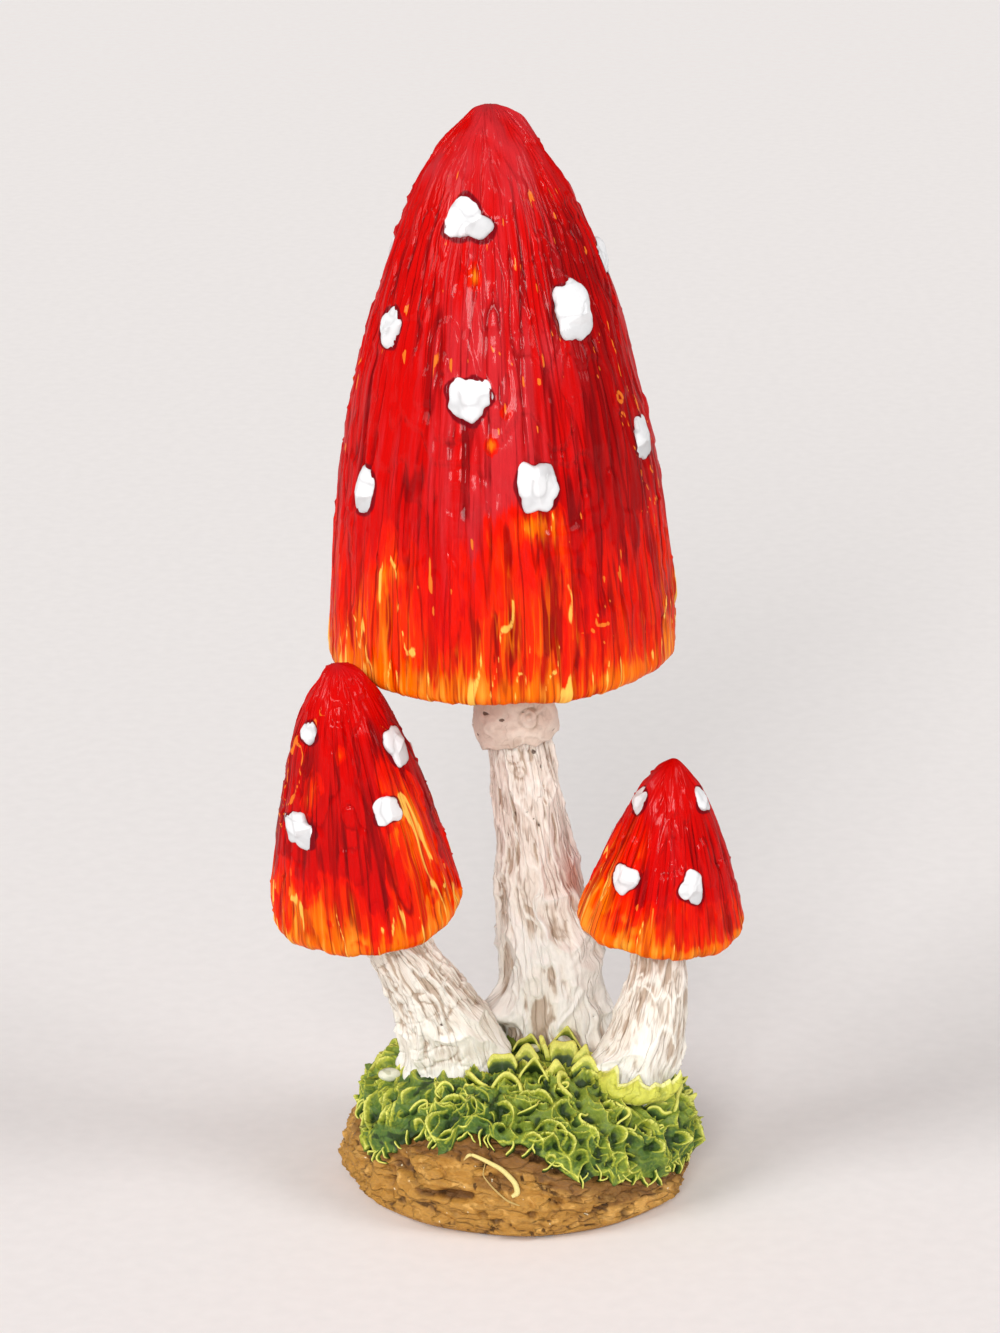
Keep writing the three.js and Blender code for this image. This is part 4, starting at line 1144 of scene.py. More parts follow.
LEFT = Toadstool(
    name="left", foot=(-6.112, -0.364, 11.893), seat=(-13.495, -5.856, 27.6), lean=(-5.9, 10.0),
    cap=Cap(
        height=25.5, radius=8.45, belly=1.22, point=0.545, lip=1.4, dish=1.6, socket=3.4, neck=2.5,
        gills=24, gill_depth=0.45, rim_wave=0.25, onset=0.66,
        patches=(
            Patch(46, 0.62, 19, 0.22, 1.15), Patch(-36, 0.42, 10, 0.08, 0.85),
            Patch(-40, 0.86, 22, 0.1, 0.35), Patch(8, 0.8, 14, 0.15, -0.25), Patch(-4, 0.28, 6, 0.03, 0.7),
            Patch(10, 0.42, 5, 0.06, 0.35), Patch(140, 0.6, 20, 0.15, 0.35), Patch(-130, 0.75, 20, 0.15, 0.3),
        ),
        seed=5, columns=400, rows=130, undulation=0.45, rosy=0.1, dusk=(0.45, 0.3), flaky=0.34,
    ),
    stem=Stem(
        foot=4.7, neck=2.2, flare=1.35, root=3.8, lean=(-10.0, 14.0), pull=(0.4, 0.12),
        seed=37, columns=200, rows=170, frill=0.6, tiled=1.0,
    ),
    warts=(
        Wart(-47, 0.214, 1.9, 2.0, 0.75, ((3, 0.1, 90.0), (5, 0.06, 0.0))),
        Wart(67, 0.315, 3.0, 3.6, 0.6, ((4, 0.06, 40.0), (3, 0.06, 20.0))),
        Wart(31, 0.504, 2.7, 2.5, 0.55, ((4, 0.1, 40.0), (3, 0.06, 100.0))),
        Wart(-47, 0.568, 3.8, 3.1, 0.6, ((2, 0.12, 150.0), (5, 0.1, 20.0), (9, 0.05, 0.0))),
        Wart(122, 0.46, 2.3, 2.6, 0.5),
        Wart(-134, 0.4, 2.4, 2.6, 0.55),
        Wart(178, 0.6, 2.7, 2.5, 0.6),
    ),
)

RIGHT = Toadstool(
    name="right", foot=(10.157, -2.483, 10.564), seat=(12.739, -2.079, 25.2), lean=(3.7, 8.0),
    cap=Cap(
        height=16.9, radius=7.6, belly=1.05, point=0.65, lip=1.1, dish=1.3, socket=2.8, neck=2.3,
        gills=22, gill_depth=0.4, rim_wave=0.2, onset=0.7,
        patches=(
            Patch(-66, 0.66, 24, 0.32, 1.0), Patch(-32, 0.5, 10, 0.14, 0.4), Patch(-20, 0.9, 22, 0.14, 0.3),
            Patch(14, 0.7, 8, 0.12, 0.4), Patch(45, 0.9, 16, 0.12, -0.15), Patch(150, 0.7, 22, 0.2, 0.3),
        ),
        seed=7, columns=330, rows=96, undulation=0.35, rosy=0.45, dusk=(0.2, 0.0), flaky=0.25,
    ),
    stem=Stem(
        foot=4.1, neck=2.0, flare=1.15, root=3.6, lean=(24.0, 2.0), pull=(0.5, 0.1),
        seed=43, columns=190, rows=160, frill=0.15, knot=(85.0, 0.3, -1.2), dry=0.55, pale=0.02, wash_and_shade=0.3,
    ),
    warts=(
        Wart(-67, 0.241, 2.3, 2.4, 0.6, ((3, 0.08, 80.0), (4, 0.06, 20.0))),
        Wart(74, 0.226, 2.2, 2.4, 0.5, ((3, 0.08, 80.0), (4, 0.06, 20.0))),
        Wart(-41, 0.64, 2.7, 2.5, 0.5, ((3, 0.12, 20.0), (5, 0.05, 60.0))),
        Wart(23, 0.646, 2.3, 3.0, 0.5, ((3, 0.12, 70.0), (4, 0.05, 10.0))),
        Wart(118, 0.58, 2.2, 2.3, 0.5),
        Wart(-128, 0.6, 2.1, 2.3, 0.5),
        Wart(172, 0.42, 2.1, 2.2, 0.5),
    ),
)


# The mound


@dataclass(frozen=True)
class Mound:
    """The dome that earth and moss share, with the part's own sizes."""

    radius: float = 15.8  # of the widest line
    underside: float = 14.1  # radius of the flat ring that it stands on
    widest: float = 1.8  # height of the widest line
    crown: float = 11.1  # height of the top
    squareness: float = 3.0  # exponent of the section, 2 is an ellipse
    crag: float = 0.45  # depth of the broken edges
    hem: tuple[float, ...] = (  # height at which the moss ends, every 20 degrees from the back
        6.2, 5.3, 4.9, 5.7, 6.7, 6.5, 5.3, 7.6, 8.3, 7.6, 5.6, 3.9, 3.6, 3.7, 4.1, 4.6, 5.2, 5.9,
    )
    gap: float = 0.3  # between the moss and the earth
    thickness: float = 0.8  # of the moss
    lump: float = 0.3  # height of the moss's slow lumps

    def at(self, climb: Array, turn: Array, grown: Array | float) -> Array:
        """The dome grown by a distance.

        Radius is (radius + crags + grown) * cos(climb) ^ (2 / squareness) and height rises with sin(climb).

        Args:
            climb: radians from the widest line, half pi at the top.
            turn: radians.
            grown: millimetres.

        Returns:
            The points.
        """
        across = np.clip(np.cos(climb), 0.0, 1.0)
        broken = self.crag * lumps(turn, 2 * climb, 0.4) * across
        radius = (self.radius + broken + grown) * np.power(across, 2 / self.squareness)
        return on_axis(radius, turn, self.widest + (self.crown - self.widest + grown) * np.sin(climb))

    def spot(self, turn: float, climb: float, grown: float) -> tuple[Array, Array, Array]:
        """One point of the grown dome and the ways from it.

        Args:
            turn: degrees.
            climb: degrees up the dome.
            grown: millimetres.

        Returns:
            The point and the unit vectors to the right and uphill.
        """
        turn, climb = np.radians([turn]), np.radians([climb])
        uphill = unit(self.at(climb + 0.02, turn, 0.0)[0] - self.at(climb - 0.02, turn, 0.0)[0])
        return self.at(climb, turn, grown)[0], np.array([math.cos(turn[0]), math.sin(turn[0]), 0.0]), uphill

    def climb_at(self, height: Array) -> Array:
        """The climb of a height on the bare dome, kept off its very top."""
        return np.arcsin(np.clip((height - self.widest) / (self.crown - self.widest), -0.2, 0.95))

    def hem_at(self, turn: Array) -> Array:
        """The moss's hem: smooth steps between its heights.

        Args:
            turn: turn of each point.

        Returns:
            The height at each.
        """
        heights = np.array(self.hem)
        place = np.mod(turn / FULL + 0.5, 1.0) * len(heights)
        before = np.floor(place).astype(int)
        mix = eased(place - before, 0.0, 1.0)
        return heights[before % len(heights)] * (1 - mix) + heights[(before + 1) % len(heights)] * mix


@dataclass(frozen=True)
class Earth:
    """The clod of earth, broken into ledges and cracks."""

    mound: Mound
    columns: int = 640
    rows: int = 110  # from the top to the widest line
    marks: tuple[tuple[float, ...], ...] = (  # turn, height, half width in degrees, half height, how far out
        (-32.0, 3.7, 6.0, 0.3, -0.7), (-22.0, 3.75, 8.0, 0.42, -0.8), (-26.0, 4.7, 14.0, 0.4, 0.45),
        (-56.0, 4.2, 2.2, 2.2, 0.5), (-49.0, 3.6, 3.0, 1.5, -0.5), (-8.0, 5.2, 9.0, 0.5, -0.5),
        (22.0, 4.4, 8.0, 0.4, 0.4), (-63.0, 5.0, 4.0, 1.0, -0.6), (-68.0, 3.4, 2.6, 1.6, -0.5),
        (-44.0, 5.3, 6.0, 0.5, -0.6), (4.0, 2.7, 1.6, 0.3, -0.5), (30.0, 2.6, 6.0, 0.25, -0.4),
        (-12.0, 2.5, 2.2, 0.3, -0.5), (12.0, 3.7, 3.0, 0.3, -0.4), (46.0, 3.4, 3.0, 0.9, 0.4),
        (110.0, 4.0, 9.0, 0.5, -0.8), (160.0, 4.2, 10.0, 0.5, -0.9), (-130.0, 3.6, 9.0, 0.5, -0.8),
    )

    def body(self) -> Array:
        """The smooth clod: the dome from its top, then a rounded edge that rolls in to the flat underside.

        Returns:
            Rows of points down to the underside's rim.
        """
        dome = np.linspace(math.pi / 2, 0.0, SAMPLES)
        mean = self.mound.at(dome, np.zeros(1), 0.0)
        places = even_rows(-mean[:, 1], mean[:, 2], self.rows)
        climb = np.interp(places, np.arange(len(dome)), dome)[:, None]
        turn = turns(self.columns)
        edge = self.mound.at(np.zeros((1, 1)), turn, 0.0)
        rim = on_axis(np.full((1, 1), self.mound.underside), turn, np.zeros((1, 1)))
        angle = np.linspace(0.0, 1.0, 12)[1:, None, None] * math.pi / 2
        share = np.cos(angle) ** 0.8
        lower = edge * share + rim * (1 - share)
        lower[..., 2] = edge[..., 2] * (1 - np.sin(angle)[..., 0])
        return np.concatenate([self.mound.at(climb, turn, 0.0), lower])

    def skin(self) -> Skin:
        """The clod, roughened, down to the middle of its underside.

        Ledges are a saw tooth of the height, bent by a noise round the clod and let in only where another
        noise is high. Cracks are the thin lines of a drawn-out noise and pits the tops of a fine one.

        Returns:
            The surface with its masks.
        """
        points, turn = self.body(), turns(self.columns)
        height = points[..., 2]
        slow = partial(cloud, turn, height)
        drift = turn + 0.12 * (slow(11, 0.35, 9, 2) - 0.5)
        warp = slow(9, 0.22, 11, 3)
        rise = 0.55 * height + 3.0 * warp + 0.9 * np.sin(turn + 0.9)
        ledge = np.power(rise - np.floor(rise), 1.8) * eased(slow(8, 0.2, 15, 2), 0.4, 0.6)
        boulder = cloud(drift, height, 22, 0.26, 16, 2) - 0.5
        plate = 6 * cloud(drift, height + 0.6 * np.sin(5 * turn), 15, 0.4, 19, 3)
        part = plate - np.floor(plate)
        flake = np.floor(plate) + eased(part, 0.0, 0.1) - plate
        rough = cloud(drift, height, 120, 1.6, 18, 3) - 0.5
        crack = veined(cloud(drift, height + 0.5 * np.sin(3 * turn), 20, 0.6, 21, 3), 16.0)
        pits = eased(noise(drift, height, 130, 2.0, 25), 0.84, 0.93)
        pits = pits * eased(noise(turn, height, 20, 0.5, 26), 0.35, 0.6)
        low = eased(height, 0.05, 1.2)
        bare = eased(height - self.mound.hem_at(turn), 0.8, -0.2)
        ragged = slow(60, 0.9, 29, 3)
        # mark is the ledges and recesses; dark is the recesses, which take painted shade.
        mark, dark = 0.0, 0.0
        for place, up, wide, high, far in self.marks:
            away = about(turn, place, math.radians(wide))
            away = away * bell(height - up - 0.16 * (warp - 0.5) * wide, 1.25 * high)
            away = eased(away + 0.5 * (ragged - 0.5), 0.3, 0.6)
            mark, dark = mark + far * away, dark + max(-far, 0.0) * away
        out = 0.45 * (ledge - 0.35) + 0.8 * boulder + 0.5 * flake + 0.5 * rough
        out = out - 0.4 * crack - 0.45 * pits + mark
        out = out * low * (0.3 + 0.7 * bare) - 0.3 * (1 - bare)
        points = points + unit(points * np.array([1.0, 1.0, 0.6])) * out[..., None]
        points[..., 2] = np.maximum(points[..., 2], 0.0)
        inward = np.linspace(1.0, 0.0, 6)[1:, None]
        table = on_axis(inward * self.mound.underside, turn, 0 * inward)
        tan = eased(slow(14, 0.4, 33, 3), 0.45, 0.7)
        crest = (0.5 * eased(rough, 0.0, 0.25) + 0.6 * eased(part, 0.75, 1.0) + 0.5 * tan) * low
        shade = eased(self.mound.hem_at(turn) - height, 2.4, 0.1) * 0.8
        shade = shade + 0.3 * eased(slow(10, 0.4, 31, 2), 0.5, 0.75)
        shade = shade + 0.3 * eased(-rough, 0.08, 0.25) + 0.9 * dark
        # The crack coat is wash in the cracks, dark pits, a painted shadow under each flake's step and
        # painted shade in the recesses.
        crack = 0.9 * crack + 0.6 * eased(part, 0.12, 0.02) * eased(boulder, 0.1, -0.1) + pits + 0.75 * dark
        fleck = eased(noise(turn, height, 300, 5.5, 27), 0.91, 0.97) * eased(rough, -0.1, 0.1)
        masks = {"crest": (crest, 0.1), "shade": (shade, 0.25), "crack": (crack, 0.0), "fleck": (fleck, 0.0)}
        paint = {
            key: np.pad(value, ((0, len(table)), (0, 0)), constant_values=below)
            for key, (value, below) in masks.items()
        }
        points = np.concatenate([points, table])
        return Skin(points, {**paint, "brush": points * np.array([0.6, 0.6, 1.6]) * MM})


@dataclass(frozen=True)
class Curl:
    """A curled leaf edge that lies in the moss: an arc of a circle."""

    turn: float
    climb: float  # degrees up the dome
    radius: float
    start: float  # degrees from the right at which the arc starts
    sweep: float  # degrees that it covers
    wire: float  # half thickness of its edge
    height: float  # of its edge above the moss


@dataclass(frozen=True)
class Moss:
    """The blanket of curly moss."""

    mound: Mound
    columns: int = 840
    rows: int = 108
    curls: int = 860
    seed: int = 17

    def sown(self) -> list[Curl]:
        """Curls sown over the dome by the golden angle, with chance in their place, size and direction.

        Higher up they are larger. On the left flank they are long, drawn-out blades.

        Returns:
            The curls.
        """
        dice = np.random.default_rng(self.seed)
        curls = []
        for index in range(self.curls):
            turn = math.degrees(index * GOLDEN) + dice.normal(0, 5)
            share = (index + 0.5) / self.curls
            climb = 84 - 82 * share**0.7 + dice.normal(0, 3)
            blade = math.cos(math.radians(turn + 78)) > 0.84 and dice.random() < 0.7
            radius = dice.uniform(1.8, 3.6) if blade else dice.uniform(0.5, 1.5) * (1.2 - 0.3 * share)
            start = dice.uniform(150, 215) if blade else dice.uniform(0, 360)
            sweep = dice.uniform(35, 75) if blade else dice.uniform(80, 220)
            height = dice.uniform(0.4, 1.15)
            curls.append(Curl(turn, climb, radius, start, sweep, dice.uniform(0.085, 0.125), height))
        return curls

    def relief(self, points: Array) -> tuple[Array, Array, Array]:
        """The curls as relief and paint.

        Near an arc the surface rises in a bell of the distance to it, wide outside the arc and steep inside,
        and inside it sinks in a bell of the distance to its centre. A point takes the highest of all.

        Args:
            points: the smooth moss.

        Returns:
            Rise, lime edge and hollow, each 0 to about 1.
        """
        rise, lime, hollow = (np.zeros(points.shape[:2]) for _ in range(3))
        for curl in self.sown():
            centre, right, up = self.mound.spot(curl.turn, curl.climb, self.mound.thickness)
            away = points - centre
            near = np.nonzero(np.einsum("ijk,ijk->ij", away, away) < (curl.radius + 1.8) ** 2)
            x, y = away[near] @ right, away[near] @ up
            reach, start, sweep = np.hypot(x, y), math.radians(curl.start), math.radians(curl.sweep)
            past = np.mod(np.arctan2(y, x) - start, FULL)
            within = past <= sweep
            ends = ((curl.radius * math.cos(a), curl.radius * math.sin(a)) for a in (start, start + sweep))
            tip = np.minimum(*(np.hypot(x - a, y - b) for a, b in ends))
            side = np.where(within, reach - curl.radius, tip)
            outer, inner = bell(np.maximum(side, 0.0), 0.5), bell(np.minimum(side, 0.0), 0.15)
            fade = np.where(within, 0.5 + 0.5 * np.sin(np.clip(past / sweep, 0, 1) * math.pi), 0.5)
            edge = np.where(side > 0, outer, inner) * fade * curl.height
            sunk = bell(reach, 0.6 * curl.radius) if curl.radius < 1.8 else 0 * reach
            line = bell(side + 0.02, curl.wire) * (0.35 + 0.65 * fade) * min(1.0, 0.45 + 0.6 * curl.height)
            for grid, value in ((rise, edge), (lime, line), (hollow, sunk)):
                grid[near] = np.maximum(grid[near], value)
        return rise, lime, hollow

    def edge(self, turn: Array) -> Array:
        """Height of the ragged hem: the mound's, with a layered noise."""
        return self.mound.hem_at(turn) + 1.3 * (cloud(turn, turn * 0, 34, 1.0, 41, 2) - 0.5)

    def fringe(self, count: int) -> list["Ribbon"]:
        """Strands that hang from the hem over the earth, sown at random round it.

        Args:
            count: how many.

        Returns:
            The strands.
        """
        dice = np.random.default_rng(self.seed)
        made = []
        for index in range(count):
            turn = (index + dice.uniform(0, 1)) * FULL / count
            low = self.edge(np.array([turn])) + dice.uniform(-0.35, 0.5)
            climb = math.degrees(self.mound.climb_at(low)[0])
            course = [dice.uniform(*ends) for ends in ((1.0, 2.2), (-125, -55), (-120, 120), (-30, 30))]
            wire = dice.uniform(0.07, 0.1)
            made.append(Ribbon(math.degrees(turn), climb, *course, 0.5, wire, 0.1, 0.0, 0.7))
        return made

    def skin(self) -> Skin:
        """The blanket from the crown down to its ragged hem and back under it.

        It is the dome grown by its thickness, the curls' relief, a web of thin lines and a fine noise.

        Returns:
            The surface with its masks.
        """
        turn = turns(self.columns)
        strand = eased(noise(turn, turn * 0, 110, 1.0, 43), 0.72, 0.95) * noise(turn, turn * 0, 40, 1.0, 44)
        low = self.mound.climb_at(self.edge(turn) - 1.5 * strand)
        share = np.power(np.linspace(0.0, 1.0, self.rows), 0.75)[:, None]
        climb = math.pi / 2 + (low - math.pi / 2) * share
        fade = 0.25 + 0.75 * eased(1 - share, 0.0, 0.12)
        soft = self.mound.lump * lumps(turn, 9 * (1 - share), 2.2) * (share > 0)
        base = self.mound.gap + (self.mound.thickness + soft) * fade
        smooth = self.mound.at(climb, turn, base)
        rise, lime, hollow = self.relief(smooth)
        x, y, height = np.moveaxis(smooth, -1, 0)
        fine = cloud(turn, height, 90, 1.3, 47, 3) - 0.5
        web = veined(cloud(turn, height + 2 * climb, 46, 0.7, 57, 2), 7.0)
        swell = 1.5 * bell(np.hypot(x - 13.4, y + 4.6), 1.9)
        relief = 0.95 * rise - 0.65 * hollow * (1 - lime) + 0.22 * web + 0.4 * fine + swell - 0.15
        over = self.mound.at(climb, turn, np.maximum(base + relief * fade, 0.1))
        back = np.array([1.0, 0.8, 0.5, 0.2, 0.0])[:, None]
        under = self.mound.at(math.pi / 2 + (low - math.pi / 2) * back, turn, 0.0)
        # Painted shade under the left toadstool; the lighter green is dry-brushing and painted light, lighter
        # higher up.
        shady = bell(np.hypot(x + 3.0, y + 9.0), 7.0)
        drybrush_and_light = eased(height, 5.0, 11.0) * 0.35 + 1.1 * cloud(turn, height, 10, 0.3, 51, 3) - 0.25 - 0.3 * shady
        # The hollow coat is painted shade inside the small curls and in the low spots of the fine relief.
        masks = {
            "drybrush_and_light": drybrush_and_light + 0.5 * fine + 0.25 * web + 0.3 * rise,
            "hollow": np.clip(1.2 * hollow - 1.6 * rise, 0, 1) + 0.9 * eased(-fine, 0.03, 0.25) * (1 - rise),
            "lime": np.maximum(lime, 0.35 * web) + 0.3 * strand * eased(share, 0.9, 1.0),
        }
        paint = {key: np.pad(value, ((0, len(back)), (0, 0))) for key, value in masks.items()}
        return Skin(np.concatenate([over, under]), paint)


@dataclass(frozen=True)
class Ribbon:
    """A curled leaf edge that stands up out of the moss."""

    turn: float  # of its start
    climb: float  # degrees up the dome
    length: float  # of its foot
    heading: float  # degrees from the right at which it sets off
    bend: float  # degrees by which it turns in all
    swing: float  # degrees of an S that is added to that
    tall: float  # height above the moss
    wire: float  # half thickness
    lean: float = 0.3  # how far its edge leans out, as a share of its height
    ripe: float = 0.0  # share of its height that is lime too
    sink: float = 0.0  # how far its foot lies below the moss's top
    rows: int = 24
    columns: int = 14

    def skin(self, mound: Mound) -> Skin:
        """A tall thin section carried along the ribbon's arc.

        The section is an upright ellipse whose middle stands out along the moss's normal, and both its height
        and its thickness taper to the arc's ends.

        Args:
            mound: the dome that the moss lies on.

        Returns:
            The surface with its masks.
        """
        foot, right, up = mound.spot(self.turn, self.climb, mound.gap + 0.9 * mound.thickness - self.sink)
        normal = np.cross(right, up)
        way = np.linspace(0, 1, self.rows)
        course = np.radians(self.heading + self.bend * way + self.swing * np.sin(FULL * way))[:, None]
        outward = np.sin(course) * right - np.cos(course) * up
        taper = np.power(np.sin((0.06 + 0.88 * way) * math.pi), 0.6)[:, None]
        steps = (np.cos(course) * right + np.sin(course) * up) * (self.length / (self.rows - 1))
        spine = foot + np.cumsum(steps, axis=0) - 0.5 * steps.sum(axis=0)
        rise = 0.5 * self.tall * taper * (1 + 0.16 * np.sin(9 * way + self.turn))[:, None]
        angle = turns(self.columns)[..., None]
        top = np.cos(angle)
        across = top * (normal + self.lean * outward)[:, None] * (rise + 0.25)[:, None]
        thick = np.sin(angle) * outward[:, None] * (self.wire * (0.6 + 0.4 * taper))[:, None]
        bead = 1 + 0.7 * eased(top, 0.5, 1.0)
        points = (spine + normal * (rise - 0.15))[:, None] + across + thick * bead
        top = top[..., 0]
        lime = eased(top, 0.35 - 1.2 * self.ripe, 0.95)
        # Painted light towards the top of the edge and painted shade low on it.
        masks = {"drybrush_and_light": 0.3 + 0.4 * top + 0.5 * self.ripe, "hollow": 0.6 - 0.8 * top, "lime": lime}
        return Skin(with_poles(points), masks)


@dataclass(frozen=True)
class FootLeaf:
    """The lime frill round the front of the right stem's foot."""

    turn: float = 4.0  # of its middle, round the stem
    wide: float = 7.0  # length along the stem
    edges: tuple[Point, ...] = (  # share of half the length, and the heights of both edges above the foot
        (-1.0, 0.5, 0.7), (-0.8, -0.6, 1.3), (-0.66, -0.75, 2.3), (-0.56, -0.8, 1.9), (-0.45, -0.75, 0.7),
        (-0.3, -0.65, 1.0), (-0.12, -0.5, 2.3), (0.02, -0.3, 1.7), (0.2, 0.1, 1.5), (0.3, 0.3, 2.0),
        (0.5, 0.5, 1.8), (0.62, 0.65, 2.5), (0.72, 1.0, 2.2), (0.93, 1.7, 3.2), (1.0, 2.2, 2.4),
    )
    rows: int = 24

    def skin(self, toadstool: Toadstool) -> Skin:
        """A pointed band that stands off the foot above and curls under on the moss below.

        The band's path runs round the foot between its two edges, and its section bulges outwards by the sine
        of the way down and ruffles with a sine of the way round.

        Args:
            toadstool: the right toadstool.

        Returns:
            The surface with its masks.
        """
        foot = toadstool.stem.foot
        share = np.linspace(-1.0, 1.0, 120)[:, None]
        turn = math.radians(self.turn) + share * self.wide / 2 / foot
        along, low, high = np.array(self.edges).T
        low, high = np.interp(share, along, low), np.interp(share, along, high)
        ruffle = np.sin(9.0 * share + 0.8) + 0.4 * np.sin(23.0 * share)
        rim = np.linspace(0.0, 1.0, self.rows)
        outline = np.concatenate([rim, rim[::-1]])[None, :]
        side = np.concatenate([np.ones(self.rows), -np.ones(self.rows)])[None, :]
        ends = np.sqrt(np.clip(1 - share**2, 0.004, 1.0))
        bulge = 0.55 + 0.75 * np.sin(0.25 + 2.5 * outline) + 0.5 * outline
        bulge = bulge + 0.16 * ruffle * (1 - 0.6 * outline)
        wall = 0.11 * side * np.sin(math.pi * (0.08 + 0.84 * outline)) ** 0.5
        radius = foot + (bulge + wall) * (0.5 + 0.5 * ends)
        points = toadstool.spine().carry(on_axis(radius, turn, high + (low - high) * outline))
        fold = veined(noise(share + 2.0, outline, 60, 1.4, 91), 5.0)
        shade = 0.6 * fold + 0.4 * eased(-ruffle, 0.2, 0.9) + 0.4 * eased(outline, 0.6, 1.0)
        lime = np.maximum(eased(outline, 0.3, 0.0), 0.7 * eased(outline, 0.8, 1.0))
        return Skin(with_poles(points), {"hollow": np.pad(shade, ((1, 1), (0, 0)), "edge"), "lime": lime})


@dataclass(frozen=True)
class Pebble:
    """A pale pebble half sunk in the moss: its middle, its radii and its seed."""

    place: Point
    size: Point
    seed: int

    def skin(self) -> Skin:
        """A ball with a layered noise in its radius, stretched to its size.

        Returns:
            The surface with its mask.
        """
        tilt, turn = np.linspace(0.0, math.pi, 26)[:, None], turns(40)
        lump = 0.85 + 0.35 * cloud(turn, tilt, 4, 0.9, self.seed, 2) * np.sin(tilt)
        ball = on_axis(lump * np.sin(tilt), turn, lump * np.cos(tilt))
        shade = eased(0.5 - cloud(turn, tilt, 5, 1.6, self.seed + 3, 2), 0.0, 0.2)
        return Skin(ball * np.array(self.size) + np.array(self.place), {"hollow": shade})


@dataclass(frozen=True)
class Straw:
    """A blade of straw on the bare earth and a thin strand that loops under it."""

    blade: tuple[tuple[float, float], ...] = (  # turns and depths below the hem
        (-19.5, 1.5), (-18, 1.0), (-12, 1.15), (-6, 1.4), (-1.5, 2.2), (-0.5, 3.0), (-2.5, 3.3),
    )
    strand: tuple[tuple[float, float], ...] = ((-12, 1.2), (-12.5, 2.2), (-9, 2.9), (-4, 3.7), (0, 4.0))
    wire: float = 0.27  # half thickness of the blade
    thin: float = 0.35  # the strand's share of that
    rows: int = 64
    columns: int = 10
    smoothing: int = 14  # rounds of the filter that smooths the paths

    def wound(self, line: tuple[tuple[float, float], ...], wire: float, mound: Mound) -> Skin:
        """A flattened, tapered wire through points that a quarter-half-quarter filter smooths.

        Its section is an ellipse that lies level across the path, and it closes to a point at both ends.

        Args:
            line: turns and depths below the hem.
            wire: half thickness where it is thickest.
            mound: the dome that it lies on.

        Returns:
            The surface with its masks.
        """
        turn, below = np.array(line, float).T
        knots, fine = np.arange(len(turn)), np.linspace(0, len(turn) - 1, self.rows)
        turn, below = np.interp(fine, knots, turn), np.interp(fine, knots, below)
        for _ in range(self.smoothing):
            for values in (turn, below):
                values[1:-1] = 0.25 * values[:-2] + 0.5 * values[1:-1] + 0.25 * values[2:]
        turn = np.radians(turn)
        path = mound.at(mound.climb_at(mound.hem_at(turn) - below), turn, mound.gap + wire + 0.12)
        share = np.linspace(0, 1, self.rows)
        taper = np.interp(share, (0.0, 0.12, 0.5, 0.85, 1.0), (0.25, 0.55, 0.8, 1.0, 0.6))
        tangent = unit(np.gradient(path, axis=0))
        across = np.cross(unit(path * np.array([1.0, 1.0, 0.5])), np.array([0.0, 0.0, 1.0]))
        across = unit(across - tangent * np.sum(across * tangent, axis=1, keepdims=True))
        square = np.cross(tangent, across)
        wide, thick = ((size * taper)[:, None, None] for size in (wire, 0.9 * wire))
        angle = turns(self.columns)[..., None]
        ring = across[:, None] * np.cos(angle) * wide + square[:, None] * np.sin(angle) * thick
        first, last = (np.broadcast_to(path[k], (1, self.columns, 3)) for k in (0, -1))
        points = np.concatenate([first, path[:, None] + ring, last])
        along = np.concatenate([[0.0], share, [1.0]])[:, None]
        return Skin(points, {"hollow": eased(along, 0.2, 0.0) + (wire < 0.2)})

    def skins(self, mound: Mound) -> list[Skin]:
        """The blade and the strand."""
        lines = (self.blade, self.wire), (self.strand, self.thin * self.wire)
        return [self.wound(line, wire, mound) for line, wire in lines]


TUFT = (  # least and most of a sown ribbon's length, heading, bend, swing, tall and wire
    (1.6, 3.6), (0, 360), (-240, 240), (-70, 70), (0.5, 1.2), (0.1, 0.15),
)
DEGREES_ROUND, DEGREES_UP = 7.0, 4.5  # degrees round and up that a millimetre of the moss takes
REACH = 16.7  # about the moss's radius at its widest line


def tuft(turn: float, climb: float, spread: float, count: int, seed: int) -> list[Ribbon]:
    """Ribbons sown at random round a place.

    Args:
        turn: of the place, in degrees.
        climb: degrees up the dome.
        spread: how far they lie from it, in millimetres.
        count: how many.
        seed: seed of their chance.

    Returns:
        The ribbons.
    """
    dice = np.random.default_rng(seed)
    made = []
    for _ in range(count):
        up, aside = dice.uniform(-spread, spread, 2)
        shape = [dice.uniform(*ends) for ends in TUFT]
        made.append(Ribbon(turn + aside * DEGREES_ROUND, climb + up * DEGREES_UP, *shape))
    return made


def lobe(
    x: float, y: float, length: float, course: float, bend: float, tall: float, wire: float,
    lean: float = 0.3, ripe: float = 0.8,
) -> Ribbon:
    """A leafy lobe near the crown, with an S of 10 degrees.

    Its climb is acos((distance from the axis / reach) ^ 1.5), which is the dome's rule solved for the climb.

    Args:
        x, y: its place on the ground plan.
        course: degrees from +X at which it sets off there.
        length, bend, tall, wire, lean, ripe: as the ribbon holds them.

    Returns:
        The lobe.
    """
    turn = math.degrees(math.atan2(x, -y))
    climb = math.degrees(math.acos((math.hypot(x, y) / REACH) ** 1.5))
    return Ribbon(turn, climb, length, course - turn, bend, 10.0, tall, wire, lean, ripe)


